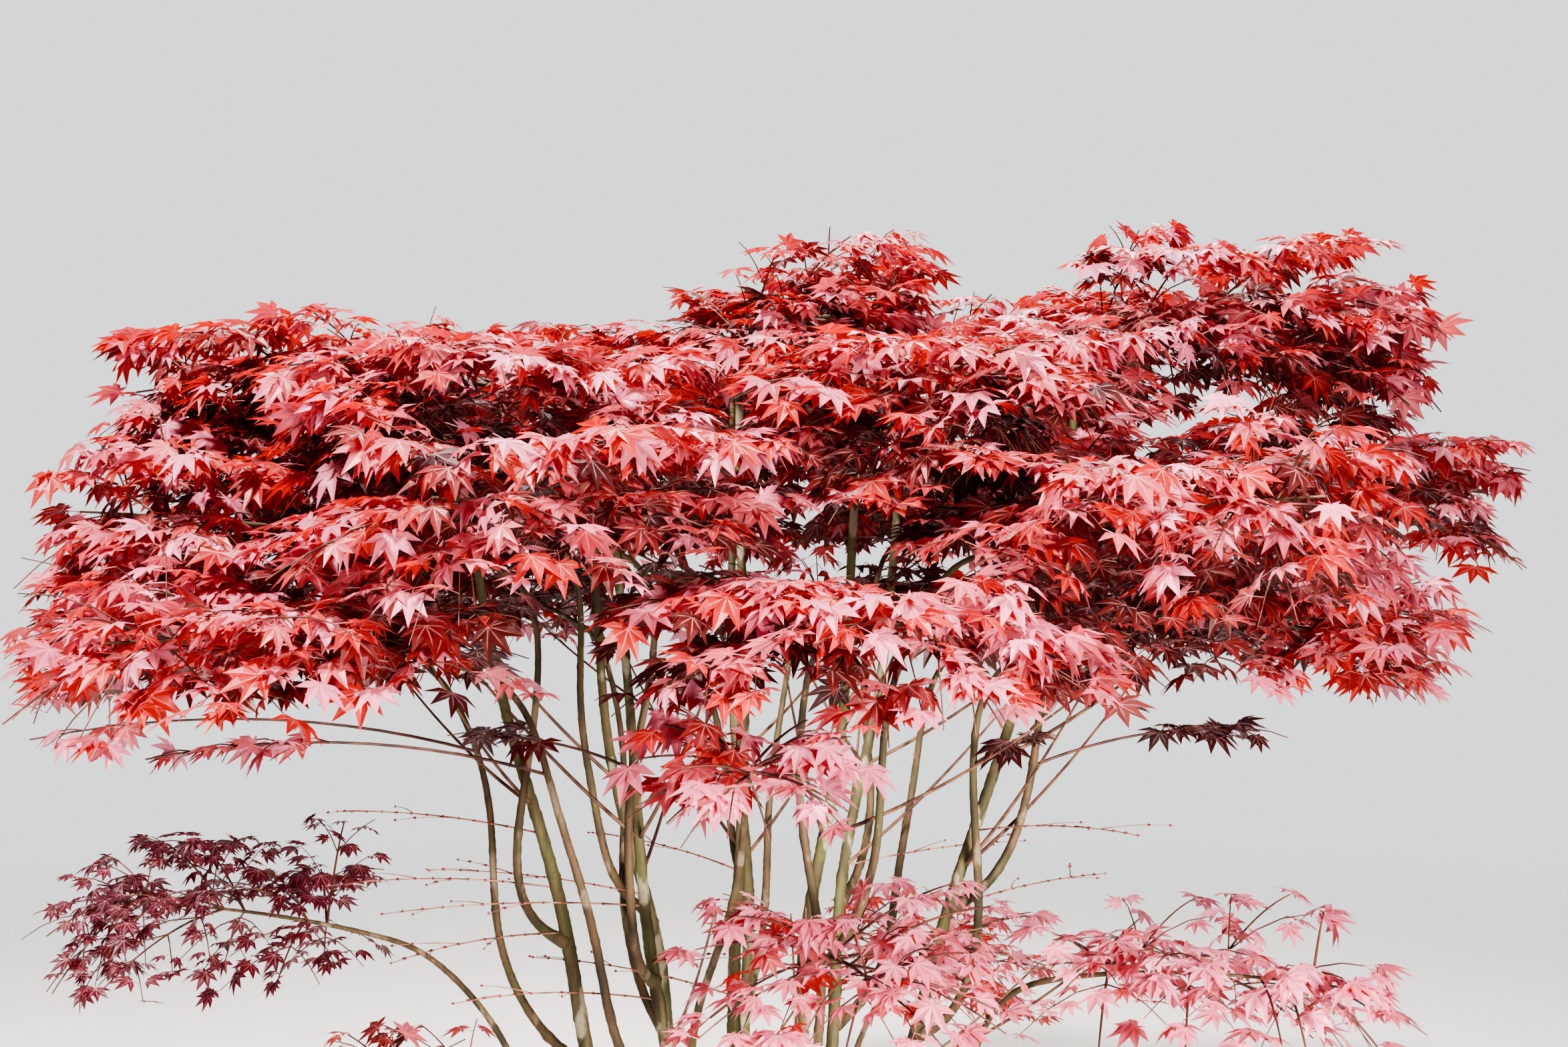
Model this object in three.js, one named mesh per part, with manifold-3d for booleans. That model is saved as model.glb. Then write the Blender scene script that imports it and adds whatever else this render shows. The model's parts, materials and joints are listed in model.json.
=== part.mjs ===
// A Japanese maple grown as a many-stemmed shrub. A low root crown carries eight stems that lean out
// and turn up like the ribs of a vase. Each stem ends in a crest mass of foliage and carries boughs to
// a shoulder mass and a skirt mass, and a few thin boughs reach out low to small sprays.
// Units are millimetres and degrees, +Z is up, and the origin is on the ground under the root crown.
// An azimuth of 0 points right (+X), 90 to the back (+Y), 180 left and 270 to the front.

import * as THREE from "three";
import { mergeVertices } from "three/addons/utils/BufferGeometryUtils.js";
import Module from "manifold-3d";

const wasm = await Module();
wasm.setup();

// Clearance between two pieces that meet
const GAP = 0.3;

// Vertices nearer to each other than this are one
const MERGE_DISTANCE = 1e-4;

// How far the crown reaches from the origin on each side
const REACH = { right: 1400, left: 1350, front: 1215, back: 1235 };

// Root crown: a low stump that flares into buttresses at the ground and is domed above its shoulder
const TRUNK = {
  height: 196,
  groundRadius: 132,
  flareHeight: 118,
  waistRadius: 80,
  shoulderHeight: 96,
  domeDepth: 0.86,
  lean: 12,
  buttresses: 5,
  buttressDepth: 0.15,
  buttressTop: 0.2,
  buttressTurn: 0.6,
  sides: 18,
  levels: 8,
};

// Stems leave the root crown in a ring round the middle one
const STEM = {
  startReach: 54,
  startHeight: 104,
  tipRadius: 6.5,
  bellyReach: 0.66,
  bellyHeight: 0.34,
  taper: 1.1,
  sides: 6,
  rings: 9,
};

// One row for each stem: where its crest mass stands, and how thick the stem is at its foot
const STEMS = [
  { name: "right", azimuth: 356, footRadius: 16, crestReach: 790, crestHeight: 1832 },
  { name: "back_right", azimuth: 47, footRadius: 15, crestReach: 640, crestHeight: 1770 },
  { name: "back", azimuth: 95, footRadius: 15, crestReach: 650, crestHeight: 1786 },
  { name: "back_left", azimuth: 140, footRadius: 15, crestReach: 620, crestHeight: 1740 },
  { name: "left", azimuth: 185, footRadius: 18, crestReach: 712, crestHeight: 1700 },
  { name: "front_left", azimuth: 237, footRadius: 15, crestReach: 610, crestHeight: 1662 },
  { name: "front_right", azimuth: 297, footRadius: 15, crestReach: 610, crestHeight: 1670 },
];
const MIDDLE_STEM = { name: "middle", azimuth: 20, footRadius: 15, crestReach: 130, crestHeight: 1850 };

// A mass of foliage has half sizes along its reach, across it, and up. Its entry is where its limb comes
// in on the side towards the plant's middle, as shares of the half sizes in plan and in height
const CREST = { size: [410, 390, 172], middleSize: [260, 320, 156], entry: { share: 0.56, lift: -0.78 } };

// Each stem of the ring carries one mass of each of these tiers. turn swings it round from its stem,
// leaves is the place on the stem where its bough starts, wave lifts and lowers the tier round the
// crown, frontDrop lowers it at the front, where the crown is thinner, and the insets draw it in on the
// right and on the left
const TIER_ENTRY = { share: 0.84, lift: -0.42 };
const TIER_WAVE_STEP = 2.4;
const TIERS = [
  {
    name: "shoulder",
    height: 1538,
    size: [400, 420, 165],
    turn: 12,
    leaves: 0.54,
    wave: 30,
    frontDrop: 40,
    rightInset: 0,
    leftInset: 170,
    footRadius: 9.5,
  },
  {
    name: "skirt",
    height: 1335,
    size: [390, 430, 126],
    turn: -14,
    leaves: 0.4,
    wave: 24,
    frontDrop: 0,
    rightInset: 185,
    leftInset: 0,
    footRadius: 8.5,
  },
];

// Low sprays, each on a long thin bough that leaves the named stem at the place leaves
const LOW_ENTRY = { share: 0.84, lift: -0.3 };
const LOW_SPRAYS = [
  {
    name: "low_left",
    stem: "left",
    azimuth: 180,
    reach: 890,
    height: 830,
    size: [330, 280, 158],
    leaves: 0.16,
  },
  {
    name: "low_front",
    stem: "front_right",
    azimuth: 283,
    reach: 700,
    height: 872,
    size: [300, 300, 120],
    leaves: 0.24,
  },
  {
    name: "low_right",
    stem: "right",
    azimuth: 322,
    reach: 865,
    height: 826,
    size: [320, 330, 122],
    leaves: 0.2,
  },
  {
    name: "low_front_left",
    stem: "front_left",
    azimuth: 222,
    reach: 690,
    height: 620,
    size: [270, 260, 104],
    leaves: 0.13,
  },
  {
    name: "low_back",
    stem: "back_right",
    azimuth: 62,
    reach: 790,
    height: 610,
    size: [310, 310, 118],
    leaves: 0.22,
  },
  {
    name: "low_centre",
    stem: "front_left",
    azimuth: 271,
    reach: 900,
    height: 1170,
    size: [210, 190, 80],
    leaves: 0.32,
  },
];

// turnOut is how far a bough turns out of its stem's direction at its foot, finishRise the slope at
// which it enters its mass, and its handles are shares of the straight way between its ends. A foot is
// no thicker than footShare of its stem and footSpare more
const BOUGH = {
  tipRadius: 4.6,
  footShare: 0.62,
  footSpare: 1.5,
  lowFootRadius: 7,
  turnOut: 0.72,
  finishRise: 0.28,
  footHandle: 0.36,
  tipHandle: 0.34,
  sides: 5,
  rings: 6,
};

// How far a limb wanders from its plain curve, as a share of its length, and in how many half waves
const WANDER = { share: 0.014, halfWaves: [2.2, 3.4] };

// Places along a limb at which foliage is kept clear of it
const LIMB_SAMPLES = 36;

// Twigs of a mass leave its stem in pairs: plan angles of the side twigs from the stem, and how high
// each ends, as a share of the mass's half height. Past the last pair the stem goes on by bareEnd of the
// space between two pairs. A twig that does not fit is drawn again, each time a step shorter
const TWIG = {
  planAngles: [27, 68, 110, 150],
  lifts: [0.85, 0, 0.6, 0.25],
  tipLift: 0.3,
  angleJitter: 8,
  liftJitter: 0.12,
  stagger: 0.12,
  bareEnd: 0.6,
  tries: 11,
  step: 0.06,
  arch: 0.12,
  samples: 6,
  stemBend: 0.42,
  stemRings: 6,
  rings: 3,
  stemRadius: [7.2, 4.8],
  sideRadius: [2.9, 2.3],
};

// A leaf: lengths are shares of its middle lobe, angles are from that lobe. Each leaf of the solids
// stands for the small spray that the real twig carries there. A mass whose half size along its reach is
// less than fullSizeIn has smaller leaves in proportion
const LEAF = {
  length: 196,
  fullSizeIn: 350,
  lobes: [
    { angle: 0, length: 1 },
    { angle: 48, length: 0.92 },
    { angle: 100, length: 0.66 },
  ],
  notch: 0.6,
  base: 0.16,
  halfThickness: 0.03,
  lobeDroop: 0.16,
  pitch: 39,
  pitchJitter: 9,
  roll: 0.22,
  tipInset: 0.98,
  innerRoot: 0.06,
  inner: [
    { place: 0.62, swing: -54, share: 0.8 },
    { place: 0.4, swing: 54, share: 0.8 },
  ],
  shrink: 0.045,
  sampleShares: [0.3, 0.65, 1],
};

// How near a mass may come to the edge of its space, to the next mass and to a limb
const SPACE = { power: 4, edge: 1.02, neighbour: 0.02, limb: 14 };

// The first of the seeds by which the masses draw their twigs and leaves
const FIRST_SEED = 71;

const COLOURS = { bark: 0x6b5a3a, youngBark: 0x74503a, foliage: 0xb3303c };

const UP = new THREE.Vector3(0, 0, 1);

const radians = THREE.MathUtils.degToRad;

// Random numbers from 0 to 1 that are the same at every run
function seeded(seed) {
  let state = seed >>> 0;
  return () => {
    state = (state + 0x6d2b79f5) >>> 0;
    let mixed = Math.imul(state ^ (state >>> 15), state | 1);
    mixed ^= mixed + Math.imul(mixed ^ (mixed >>> 7), mixed | 61);
    return ((mixed ^ (mixed >>> 14)) >>> 0) / 4294967296;
  };
}

const between = (random, low, high) => low + (high - low) * random();

function polar(azimuth, reach, height) {
  const angle = radians(azimuth);
  return new THREE.Vector3(reach * Math.cos(angle), reach * Math.sin(angle), height);
}

// The crown's reach at an azimuth, blended smoothly from its four sides
function crownReach(azimuth) {
  const across = Math.cos(radians(azimuth));
  const along = Math.sin(radians(azimuth));
  const side = across > 0 ? REACH.right : REACH.left;
  const end = along > 0 ? REACH.back : REACH.front;
  return side * across * across + end * along * along;
}

// A closed mesh of vertices and triangles as a solid
function solidOf(geometry) {
  geometry.deleteAttribute("normal");
  geometry.deleteAttribute("uv");
  const merged = mergeVertices(geometry, MERGE_DISTANCE);
  return new wasm.Manifold(
    new wasm.Mesh({
      numProp: 3,
      vertProperties: new Float32Array(merged.attributes.position.array),
      triVerts: new Uint32Array(merged.index.array),
    }),
  );
}

function geometryOf(solid) {
  const mesh = solid.getMesh();
  const geometry = new THREE.BufferGeometry();
  geometry.setAttribute("position", new THREE.BufferAttribute(mesh.vertProperties, 3));
  geometry.setIndex(new THREE.BufferAttribute(mesh.triVerts, 1));
  geometry.computeVertexNormals();
  return geometry;
}

// Two solids as one, worked out at once so that no long chain of pending steps builds up
function fused(a, b) {
  const whole = a.add(b);
  whole.volume();
  return whole;
}

// The largest body of a solid: sealed hollows are filled and loose scraps dropped
function largestBody(solid) {
  return solid.decompose().reduce((a, b) => (a.volume() > b.volume() ? a : b));
}

// Rings of points, all with as many points, joined into a closed skin
function skin(rings) {
  const sides = rings[0].length;
  const index = [];
  for (let i = 0; i + 1 < rings.length; i++) {
    for (let k = 0; k < sides; k++) {
      const a = i * sides + k;
      const b = i * sides + ((k + 1) % sides);
      index.push(a, b, b + sides, a, b + sides, a + sides);
    }
  }
  const last = (rings.length - 1) * sides;
  for (let k = 1; k + 1 < sides; k++) {
    index.push(0, k + 1, k);
    index.push(last, last + k, last + k + 1);
  }
  const geometry = new THREE.BufferGeometry().setFromPoints(rings.flat());
  geometry.setIndex(index);
  return geometry;
}

// A tapered tube along a curve. radiusAt takes a place from 0 to 1
function taperedTube(curve, radiusAt, sides, rings) {
  const frames = curve.computeFrenetFrames(rings - 1, false);
  const made = [];
  for (let i = 0; i < rings; i++) {
    const place = i / (rings - 1);
    const centre = curve.getPoint(place);
    const ring = [];
    for (let k = 0; k < sides; k++) {
      const angle = (2 * Math.PI * k) / sides;
      ring.push(
        centre
          .clone()
          .addScaledVector(frames.normals[i], radiusAt(place) * Math.cos(angle))
          .addScaledVector(frames.binormals[i], radiusAt(place) * Math.sin(angle)),
      );
    }
    made.push(ring);
  }
  return solidOf(skin(made));
}

// Root crown

function trunkRadius(height, angle) {
  const flare = Math.max(0, 1 - height / TRUNK.flareHeight) ** 2;
  const rise = Math.max(0, height - TRUNK.shoulderHeight) / (TRUNK.height - TRUNK.shoulderHeight);
  const plain = TRUNK.waistRadius + (TRUNK.groundRadius - TRUNK.waistRadius) * flare;
  const dome = Math.sqrt(1 - TRUNK.domeDepth * rise * rise);
  const depth = TRUNK.buttressDepth * THREE.MathUtils.lerp(TRUNK.buttressTop, 1, flare);
  return plain * dome * (1 + depth * Math.cos(TRUNK.buttresses * angle + TRUNK.buttressTurn));
}

function trunkSolid(clearance = 0) {
  const rings = [];
  for (let i = 0; i < TRUNK.levels; i++) {
    const share = i / (TRUNK.levels - 1);
    const ring = [];
    for (let k = 0; k < TRUNK.sides; k++) {
      const angle = (2 * Math.PI * k) / TRUNK.sides;
      const radius = trunkRadius(share * TRUNK.height, angle) + clearance;
      const height = share * TRUNK.height + (i === TRUNK.levels - 1 ? clearance : 0);
      const centre = -TRUNK.lean * share;
      ring.push(new THREE.Vector3(centre + radius * Math.cos(angle), radius * Math.sin(angle), height));
    }
    rings.push(ring);
  }
  return solidOf(skin(rings));
}

// Masses of foliage: their places in the crown, from the tiers and the stems

function massAt(name, azimuth, reach, height, size, entry) {
  const outward = polar(azimuth, 1, 0);
  const across = UP.clone().cross(outward);
  const mass = { name, centre: polar(azimuth, reach, height), size, outward, across };
  mass.entry = pointIn(mass, 180, entry.share, entry.lift);
  return mass;
}

// A point of a mass's space: the plan angle is from the mass's outward side, and share and lift are
// shares of its half sizes in plan and in height
function pointIn(mass, planAngle, share, lift) {
  const plan = radians(planAngle);
  return mass.centre
    .clone()
    .addScaledVector(mass.outward, mass.size[0] * share * Math.cos(plan))
    .addScaledVector(mass.across, mass.size[1] * share * Math.sin(plan))
    .addScaledVector(UP, mass.size[2] * lift);
}

function crestMass(stem) {
  const { name, azimuth, crestReach, crestHeight } = stem;
  const size = stem === MIDDLE_STEM ? CREST.middleSize : CREST.size;
  return massAt(`foliage_${name}_crest`, azimuth, crestReach, crestHeight, size, CREST.entry);
}

function tierMass(stem, tier, index) {
  const azimuth = stem.azimuth + tier.turn;
  const right = Math.max(0, Math.cos(radians(azimuth)));
  const left = Math.max(0, -Math.cos(radians(azimuth)));
  const inset = tier.rightInset * right ** 2 + tier.leftInset * left ** 2;
  const reach = crownReach(azimuth) - tier.size[0] - inset;
  const front = Math.max(0, -Math.sin(radians(azimuth)));
  const wave = tier.wave * Math.cos(TIER_WAVE_STEP * index + tier.turn);
  const height = tier.height + wave - tier.frontDrop * front;
  return massAt(`foliage_${stem.name}_${tier.name}`, azimuth, reach, height, tier.size, TIER_ENTRY);
}

function lowMass(spray) {
  return massAt(`foliage_${spray.name}`, spray.azimuth, spray.reach, spray.height, spray.size, LOW_ENTRY);
}

// Limbs: each is one tapering curve with a name, a parent and the mass that it ends in

// A plain curve that wanders a little to either side between its ends, as a grown limb does
class GrownCurve extends THREE.Curve {
  constructor(plain, seed) {
    super();
    this.plain = plain;
    const random = seeded(seed);
    const run = plain.getPoint(1).sub(plain.getPoint(0));
    this.side = run.clone().cross(UP).normalize();
    this.rise = this.side.clone().cross(run).normalize();
    this.amplitude = run.length() * WANDER.share;
    this.waves = [0, 1].map(() => ({
      rate: Math.PI * between(random, ...WANDER.halfWaves),
      phase: 2 * Math.PI * random(),
    }));
  }

  getPoint(place) {
    const held = Math.sin(Math.PI * THREE.MathUtils.clamp(place, 0, 1)) ** 2;
    const swing = ({ rate, phase }) => this.amplitude * held * Math.sin(rate * place + phase);
    const [sideways, upwards] = this.waves.map(swing);
    const plain = this.plain.getPoint(place);
    return plain.addScaledVector(this.side, sideways).addScaledVector(this.rise, upwards);
  }
}

function stemLimb(stem, mass, seed) {
  const foot = polar(stem.azimuth, stem === MIDDLE_STEM ? 0 : STEM.startReach, STEM.startHeight);
  foot.x -= (TRUNK.lean * STEM.startHeight) / TRUNK.height;
  const belly = foot.clone().lerp(mass.entry, STEM.bellyReach);
  belly.z = foot.z + (mass.entry.z - foot.z) * STEM.bellyHeight;
  return {
    name: `stem_${stem.name}`,
    mass,
    curve: new GrownCurve(new THREE.QuadraticBezierCurve3(foot, belly, mass.entry), seed),
    radiusAt: (place) => STEM.tipRadius + (stem.footRadius - STEM.tipRadius) * (1 - place) ** STEM.taper,
    sides: STEM.sides,
    rings: STEM.rings,
  };
}

function boughLimb(name, parent, place, mass, footRadius, seed) {
  const foot = parent.curve.getPoint(place);
  const run = foot.distanceTo(mass.entry);
  const start = parent.curve.getTangent(place).lerp(mass.outward, BOUGH.turnOut).normalize();
  const finish = mass.outward.clone().addScaledVector(UP, BOUGH.finishRise).normalize();
  const radius = Math.min(footRadius, parent.radiusAt(place) * BOUGH.footShare + BOUGH.footSpare);
  const plain = new THREE.CubicBezierCurve3(
    foot,
    foot.clone().addScaledVector(start, run * BOUGH.footHandle),
    mass.entry.clone().addScaledVector(finish, -run * BOUGH.tipHandle),
    mass.entry,
  );
  return {
    name,
    mass,
    parent,
    curve: new GrownCurve(plain, seed),
    radiusAt: (at) => BOUGH.tipRadius + (radius - BOUGH.tipRadius) * (1 - at),
    sides: BOUGH.sides,
    rings: BOUGH.rings,
  };
}

function limbSolid(limb, clearance = 0) {
  return taperedTube(limb.curve, (place) => limb.radiusAt(place) + clearance, limb.sides, limb.rings);
}

// Twigs and leaves of one mass

// How deep a point lies in a mass's space, which is a flat pad with a rounded rim: 0 at the centre and
// 1 at the edge
function depthIn(mass, point) {
  const from = point.clone().sub(mass.centre);
  const plan = Math.hypot(from.dot(mass.outward) / mass.size[0], from.dot(mass.across) / mass.size[1]);
  return (plan ** SPACE.power + Math.abs(from.z / mass.size[2]) ** SPACE.power) ** (1 / SPACE.power);
}

function withinSpace(mass, others, point) {
  const own = depthIn(mass, point);
  const nearer = (other) => own + SPACE.neighbour < depthIn(other, point);
  return own <= SPACE.edge && others.every((other) => other === mass || nearer(other));
}

function clearOfLimbs(limbs, point) {
  return limbs.every((limb) => limb.samples.every((s) => s.point.distanceTo(point) > s.radius + SPACE.limb));
}

// The leaf's frame at a point: its middle lobe runs along heading, tipped down by pitch
function leafFrame(point, heading, pitch, roll) {
  const level = new THREE.Vector3(heading.x, heading.y, 0).normalize();
  const side = level.clone().cross(UP).applyAxisAngle(level, roll);
  const forward = level.applyAxisAngle(side, -radians(pitch));
  return new THREE.Matrix4().makeBasis(side, forward, side.clone().cross(forward)).setPosition(point);
}

function leafOutline() {
  const [middle, ...pairs] = LEAF.lobes;
  const mirrored = pairs.map((lobe) => ({ ...lobe, angle: -lobe.angle })).reverse();
  const tips = [...mirrored, middle, ...pairs];
  const outline = tips.flatMap((lobe, i) => {
    const next = tips[i + 1];
    const tip = { angle: lobe.angle, reach: lobe.length };
    if (!next) return [tip];
    const notch = LEAF.notch * Math.min(lobe.length, next.length);
    return [tip, { angle: (lobe.angle + next.angle) / 2, reach: notch }];
  });
  outline.push({ angle: 180, reach: LEAF.base });
  return outline.map(({ angle, reach }) => {
    const turn = radians(angle);
    const flat = new THREE.Vector3(Math.sin(turn), Math.cos(turn), -LEAF.lobeDroop * reach);
    return flat.multiplyScalar(reach * LEAF.length);
  });
}

const OUTLINE = leafOutline();

// The three corners of a twig's section: left, top and right
const TWIG_RING = [-150, 90, -30].map((turn) => [Math.cos(radians(turn)), Math.sin(radians(turn))]);

// A twig of three sides along a curve, with its end leaf where the leaf's frame is given: there the
// twig's last ring opens into the base of the leaf
function leafySolid(curve, [footRadius, tipRadius], rings, frame) {
  const points = [];
  const index = [];
  const across = curve.getPoint(1).sub(curve.getPoint(0)).cross(UP);
  for (let i = 0; i < rings; i++) {
    const place = i / (rings - 1);
    const radius = THREE.MathUtils.lerp(footRadius, tipRadius, place);
    const forward = curve.getTangent(place);
    const upward = across.clone().cross(forward).normalize();
    const side = forward.clone().cross(upward);
    for (const [x, z] of TWIG_RING) {
      const corner = curve.getPoint(place).addScaledVector(side, radius * x);
      points.push(corner.addScaledVector(upward, radius * z));
    }
  }
  for (let i = 0; i + 1 < rings; i++) {
    for (let k = 0; k < 3; k++) {
      const [a, b] = [3 * i + k, 3 * i + ((k + 1) % 3)];
      index.push(a, b, b + 3, a, b + 3, a + 3);
    }
  }
  const last = 3 * (rings - 1);
  index.push(0, 2, 1);
  if (frame) {
    const half = LEAF.halfThickness * LEAF.length;
    const outline = OUTLINE.slice(0, -1).map((_, k) => points.length + k);
    const top = points.length + outline.length;
    const own = [...OUTLINE.slice(0, -1), new THREE.Vector3(0, 0, half), new THREE.Vector3(0, 0, -half)];
    points.push(...own.map((p) => p.clone().applyMatrix4(frame)));
    const upper = [...outline, last + 2, last + 1, last];
    const lower = [...outline, last + 2, last];
    upper.forEach((k, i) => index.push(top, upper[(i + 1) % upper.length], k));
    lower.forEach((k, i) => index.push(top + 1, k, lower[(i + 1) % lower.length]));
  } else {
    index.push(last, last + 1, last + 2);
  }
  const geometry = new THREE.BufferGeometry().setFromPoints(points);
  geometry.setIndex(index);
  return solidOf(geometry);
}

function leafSolid(frame) {
  const half = LEAF.halfThickness * LEAF.length;
  const points = [...OUTLINE, new THREE.Vector3(0, 0, half), new THREE.Vector3(0, 0, -half)];
  const top = OUTLINE.length;
  const index = OUTLINE.flatMap((_, k) => [top, (k + 1) % top, k, top + 1, k, (k + 1) % top]);
  const placed = points.map((p) => p.clone().applyMatrix4(frame));
  const geometry = new THREE.BufferGeometry().setFromPoints(placed);
  geometry.setIndex(index);
  return solidOf(geometry);
}

// Points over the leaf, by which it is tested against its space and the limbs
function leafSamples(frame) {
  const at = (tip, share) => tip.clone().multiplyScalar(share).applyMatrix4(frame);
  return OUTLINE.flatMap((tip) => LEAF.sampleShares.map((share) => at(tip, share)));
}

// The size of a mass's leaves against the full size
function leafScale(mass) {
  return Math.min(1, mass.size[0] / LEAF.fullSizeIn);
}

// How far out a twig ends when it is drawn for the nth time, as a share of the mass's half sizes
function twigReach(mass, n) {
  return (1 - (LEAF.tipInset * LEAF.length * leafScale(mass)) / mass.size[0]) * (1 - TWIG.step * n);
}

// The mass's own stem, which goes on from the tip of its limb
function massStem(mass, random) {
  const start = mass.entry.clone().addScaledVector(mass.direction, GAP);
  const planAngle = between(random, -TWIG.angleJitter, TWIG.angleJitter);
  const tip = pointIn(mass, planAngle, twigReach(mass, 0), TWIG.tipLift);
  const bend = start.clone().addScaledVector(mass.direction, start.distanceTo(tip) * TWIG.stemBend);
  return new THREE.QuadraticBezierCurve3(start, bend, tip);
}

function sideTwig(mass, from, planAngle, lift, n, random) {
  const jitter = (size) => between(random, -size, size);
  const angle = planAngle + jitter(TWIG.angleJitter);
  const to = pointIn(mass, angle, twigReach(mass, n), lift + jitter(TWIG.liftJitter) * (1 + n));
  const arched = from.clone().lerp(to, 0.5).addScaledVector(UP, from.distanceTo(to) * TWIG.arch);
  return new THREE.QuadraticBezierCurve3(from, arched, to);
}

// A point on the straight pieces of which a twig's skin is made, at a place from 0 to 1
function onTwig(curve, rings, place) {
  const piece = Math.min(Math.floor(place * (rings - 1)), rings - 2);
  const [from, to] = [piece, piece + 1].map((i) => curve.getPoint(i / (rings - 1)));
  return from.lerp(to, place * (rings - 1) - piece);
}

function massSolid(mass, others, limbs, seed) {
  const random = seeded(seed);
  const away = limbs.filter((limb) => limb !== mass.limb);
  const fitsIn = (points, near) => points.every((p) => withinSpace(mass, others, p) && clearOfLimbs(near, p));

  // The frame of a leaf on a twig with its base moved on by a root length, or nothing where the leaf
  // would leave its space, touch a limb or cross another leaf or twig
  const leafOn = (curve, place, swing, root, share, crossed) => {
    const scale = share * leafScale(mass);
    const heading = curve.getTangent(place).applyAxisAngle(UP, radians(swing));
    const pitch = LEAF.pitch + between(random, -LEAF.pitchJitter, LEAF.pitchJitter);
    const roll = between(random, -LEAF.roll, LEAF.roll);
    const frame = leafFrame(onTwig(curve, TWIG.rings, place), heading, pitch, roll);
    frame.multiply(new THREE.Matrix4().makeTranslation(0, root * LEAF.length * scale, 0));
    frame.multiply(new THREE.Matrix4().makeScale(scale, scale, scale));
    const fits = fitsIn(leafSamples(frame), limbs) && leafSolid(frame).intersect(crossed).isEmpty();
    return fits ? frame : undefined;
  };

  const stem = massStem(mass, random);
  const bare = leafySolid(stem, TWIG.stemRadius, TWIG.stemRings);
  const nothing = bare.subtract(bare);
  const last = leafOn(stem, 1, 0, LEAF.base, 1, nothing);
  let solid = last ? leafySolid(stem, TWIG.stemRadius, TWIG.stemRings, last) : bare;
  let leaves = last ? leafSolid(last) : nothing;
  const pairs = TWIG.planAngles.length;
  TWIG.planAngles.forEach((planAngle, i) => {
    for (const hand of [-1, 1]) {
      const place = (pairs - i + hand * TWIG.stagger) / (pairs + TWIG.bareEnd);
      const from = onTwig(stem, TWIG.stemRings, place);
      const lift = TWIG.lifts[(i + (hand > 0 ? 1 : 0)) % TWIG.lifts.length];
      for (let n = 0; n < TWIG.tries; n++) {
        const curve = sideTwig(mass, from, hand * planAngle, lift, n, random);
        const twig = leafySolid(curve, TWIG.sideRadius, TWIG.rings);
        if (!fitsIn(curve.getPoints(TWIG.samples), away) || !twig.intersect(leaves).isEmpty()) continue;
        const outer = leafOn(curve, 1, 0, LEAF.base, 1 - LEAF.shrink * n, solid);
        if (!outer) continue;
        const before = fused(solid, leafSolid(outer));
        let inner = nothing;
        for (const { place, swing, share } of LEAF.inner) {
          const frame = leafOn(curve, place, swing, LEAF.innerRoot, share, fused(before, inner));
          if (frame) inner = fused(inner, leafSolid(frame));
        }
        leaves = fused(fused(leaves, leafSolid(outer)), inner);
        solid = fused(fused(solid, leafySolid(curve, TWIG.sideRadius, TWIG.rings, outer)), inner);
        break;
      }
    }
  });
  return largestBody(solid);
}

// The whole plant

const group = new THREE.Group();
const bark = new THREE.MeshStandardMaterial({ color: COLOURS.bark, roughness: 0.8, metalness: 0 });
const youngBark = new THREE.MeshStandardMaterial({ color: COLOURS.youngBark, roughness: 0.7, metalness: 0 });
const foliage = new THREE.MeshStandardMaterial({ color: COLOURS.foliage, roughness: 0.5, metalness: 0 });

function addNode(name, solid, material) {
  const mesh = new THREE.Mesh(geometryOf(solid), material);
  mesh.name = name;
  group.add(mesh);
}

const limbs = [stemLimb(MIDDLE_STEM, crestMass(MIDDLE_STEM), 0)];
STEMS.forEach((stem, index) => {
  const limb = stemLimb(stem, crestMass(stem), limbs.length + 1);
  limbs.push(limb);
  for (const tier of TIERS) {
    const name = `bough_${stem.name}_${tier.name}`;
    const mass = tierMass(stem, tier, index);
    limbs.push(boughLimb(name, limb, tier.leaves, mass, tier.footRadius, limbs.length + 1));
  }
});
for (const spray of LOW_SPRAYS) {
  const parent = limbs.find((limb) => limb.name === `stem_${spray.stem}`);
  const mass = lowMass(spray);
  const name = `bough_${spray.name}`;
  limbs.push(boughLimb(name, parent, spray.leaves, mass, BOUGH.lowFootRadius, limbs.length + 1));
}

for (const limb of limbs) {
  limb.mass.limb = limb;
  limb.mass.direction = limb.curve.getTangent(1);
  const points = limb.curve.getPoints(LIMB_SAMPLES);
  limb.samples = points.map((point, i) => ({ point, radius: limb.radiusAt(i / LIMB_SAMPLES) }));
}

const trunkWithGap = trunkSolid(GAP);
addNode("trunk", trunkSolid(), bark);
for (const limb of limbs) {
  const carrier = limb.parent ? limbSolid(limb.parent, GAP) : trunkWithGap;
  addNode(limb.name, largestBody(limbSolid(limb).subtract(carrier)), limb.parent ? youngBark : bark);
}

const masses = limbs.map((limb) => limb.mass);
masses.forEach((mass, index) => {
  addNode(mass.name, massSolid(mass, masses, limbs, FIRST_SEED + index), foliage);
});

export default group;
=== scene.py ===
"""Looks of a Japanese maple grown as a many-stemmed shrub: bark on its limbs, twigs and red leaves.

The limbs and the spaces of the foliage follow the same rule as the solids that they stand for. From
each limb's tip the growth goes on in finer orders: the stem of a mass, side twigs in decks, small
twigs in opposite pairs, and pairs of leaves. Thin branches, bare twigs and small hanging sprays grow
from the limbs under the crown. Lengths are in metres, angles in degrees, and +Z is up.
"""

import functools
import itertools
import json
import math

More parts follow.
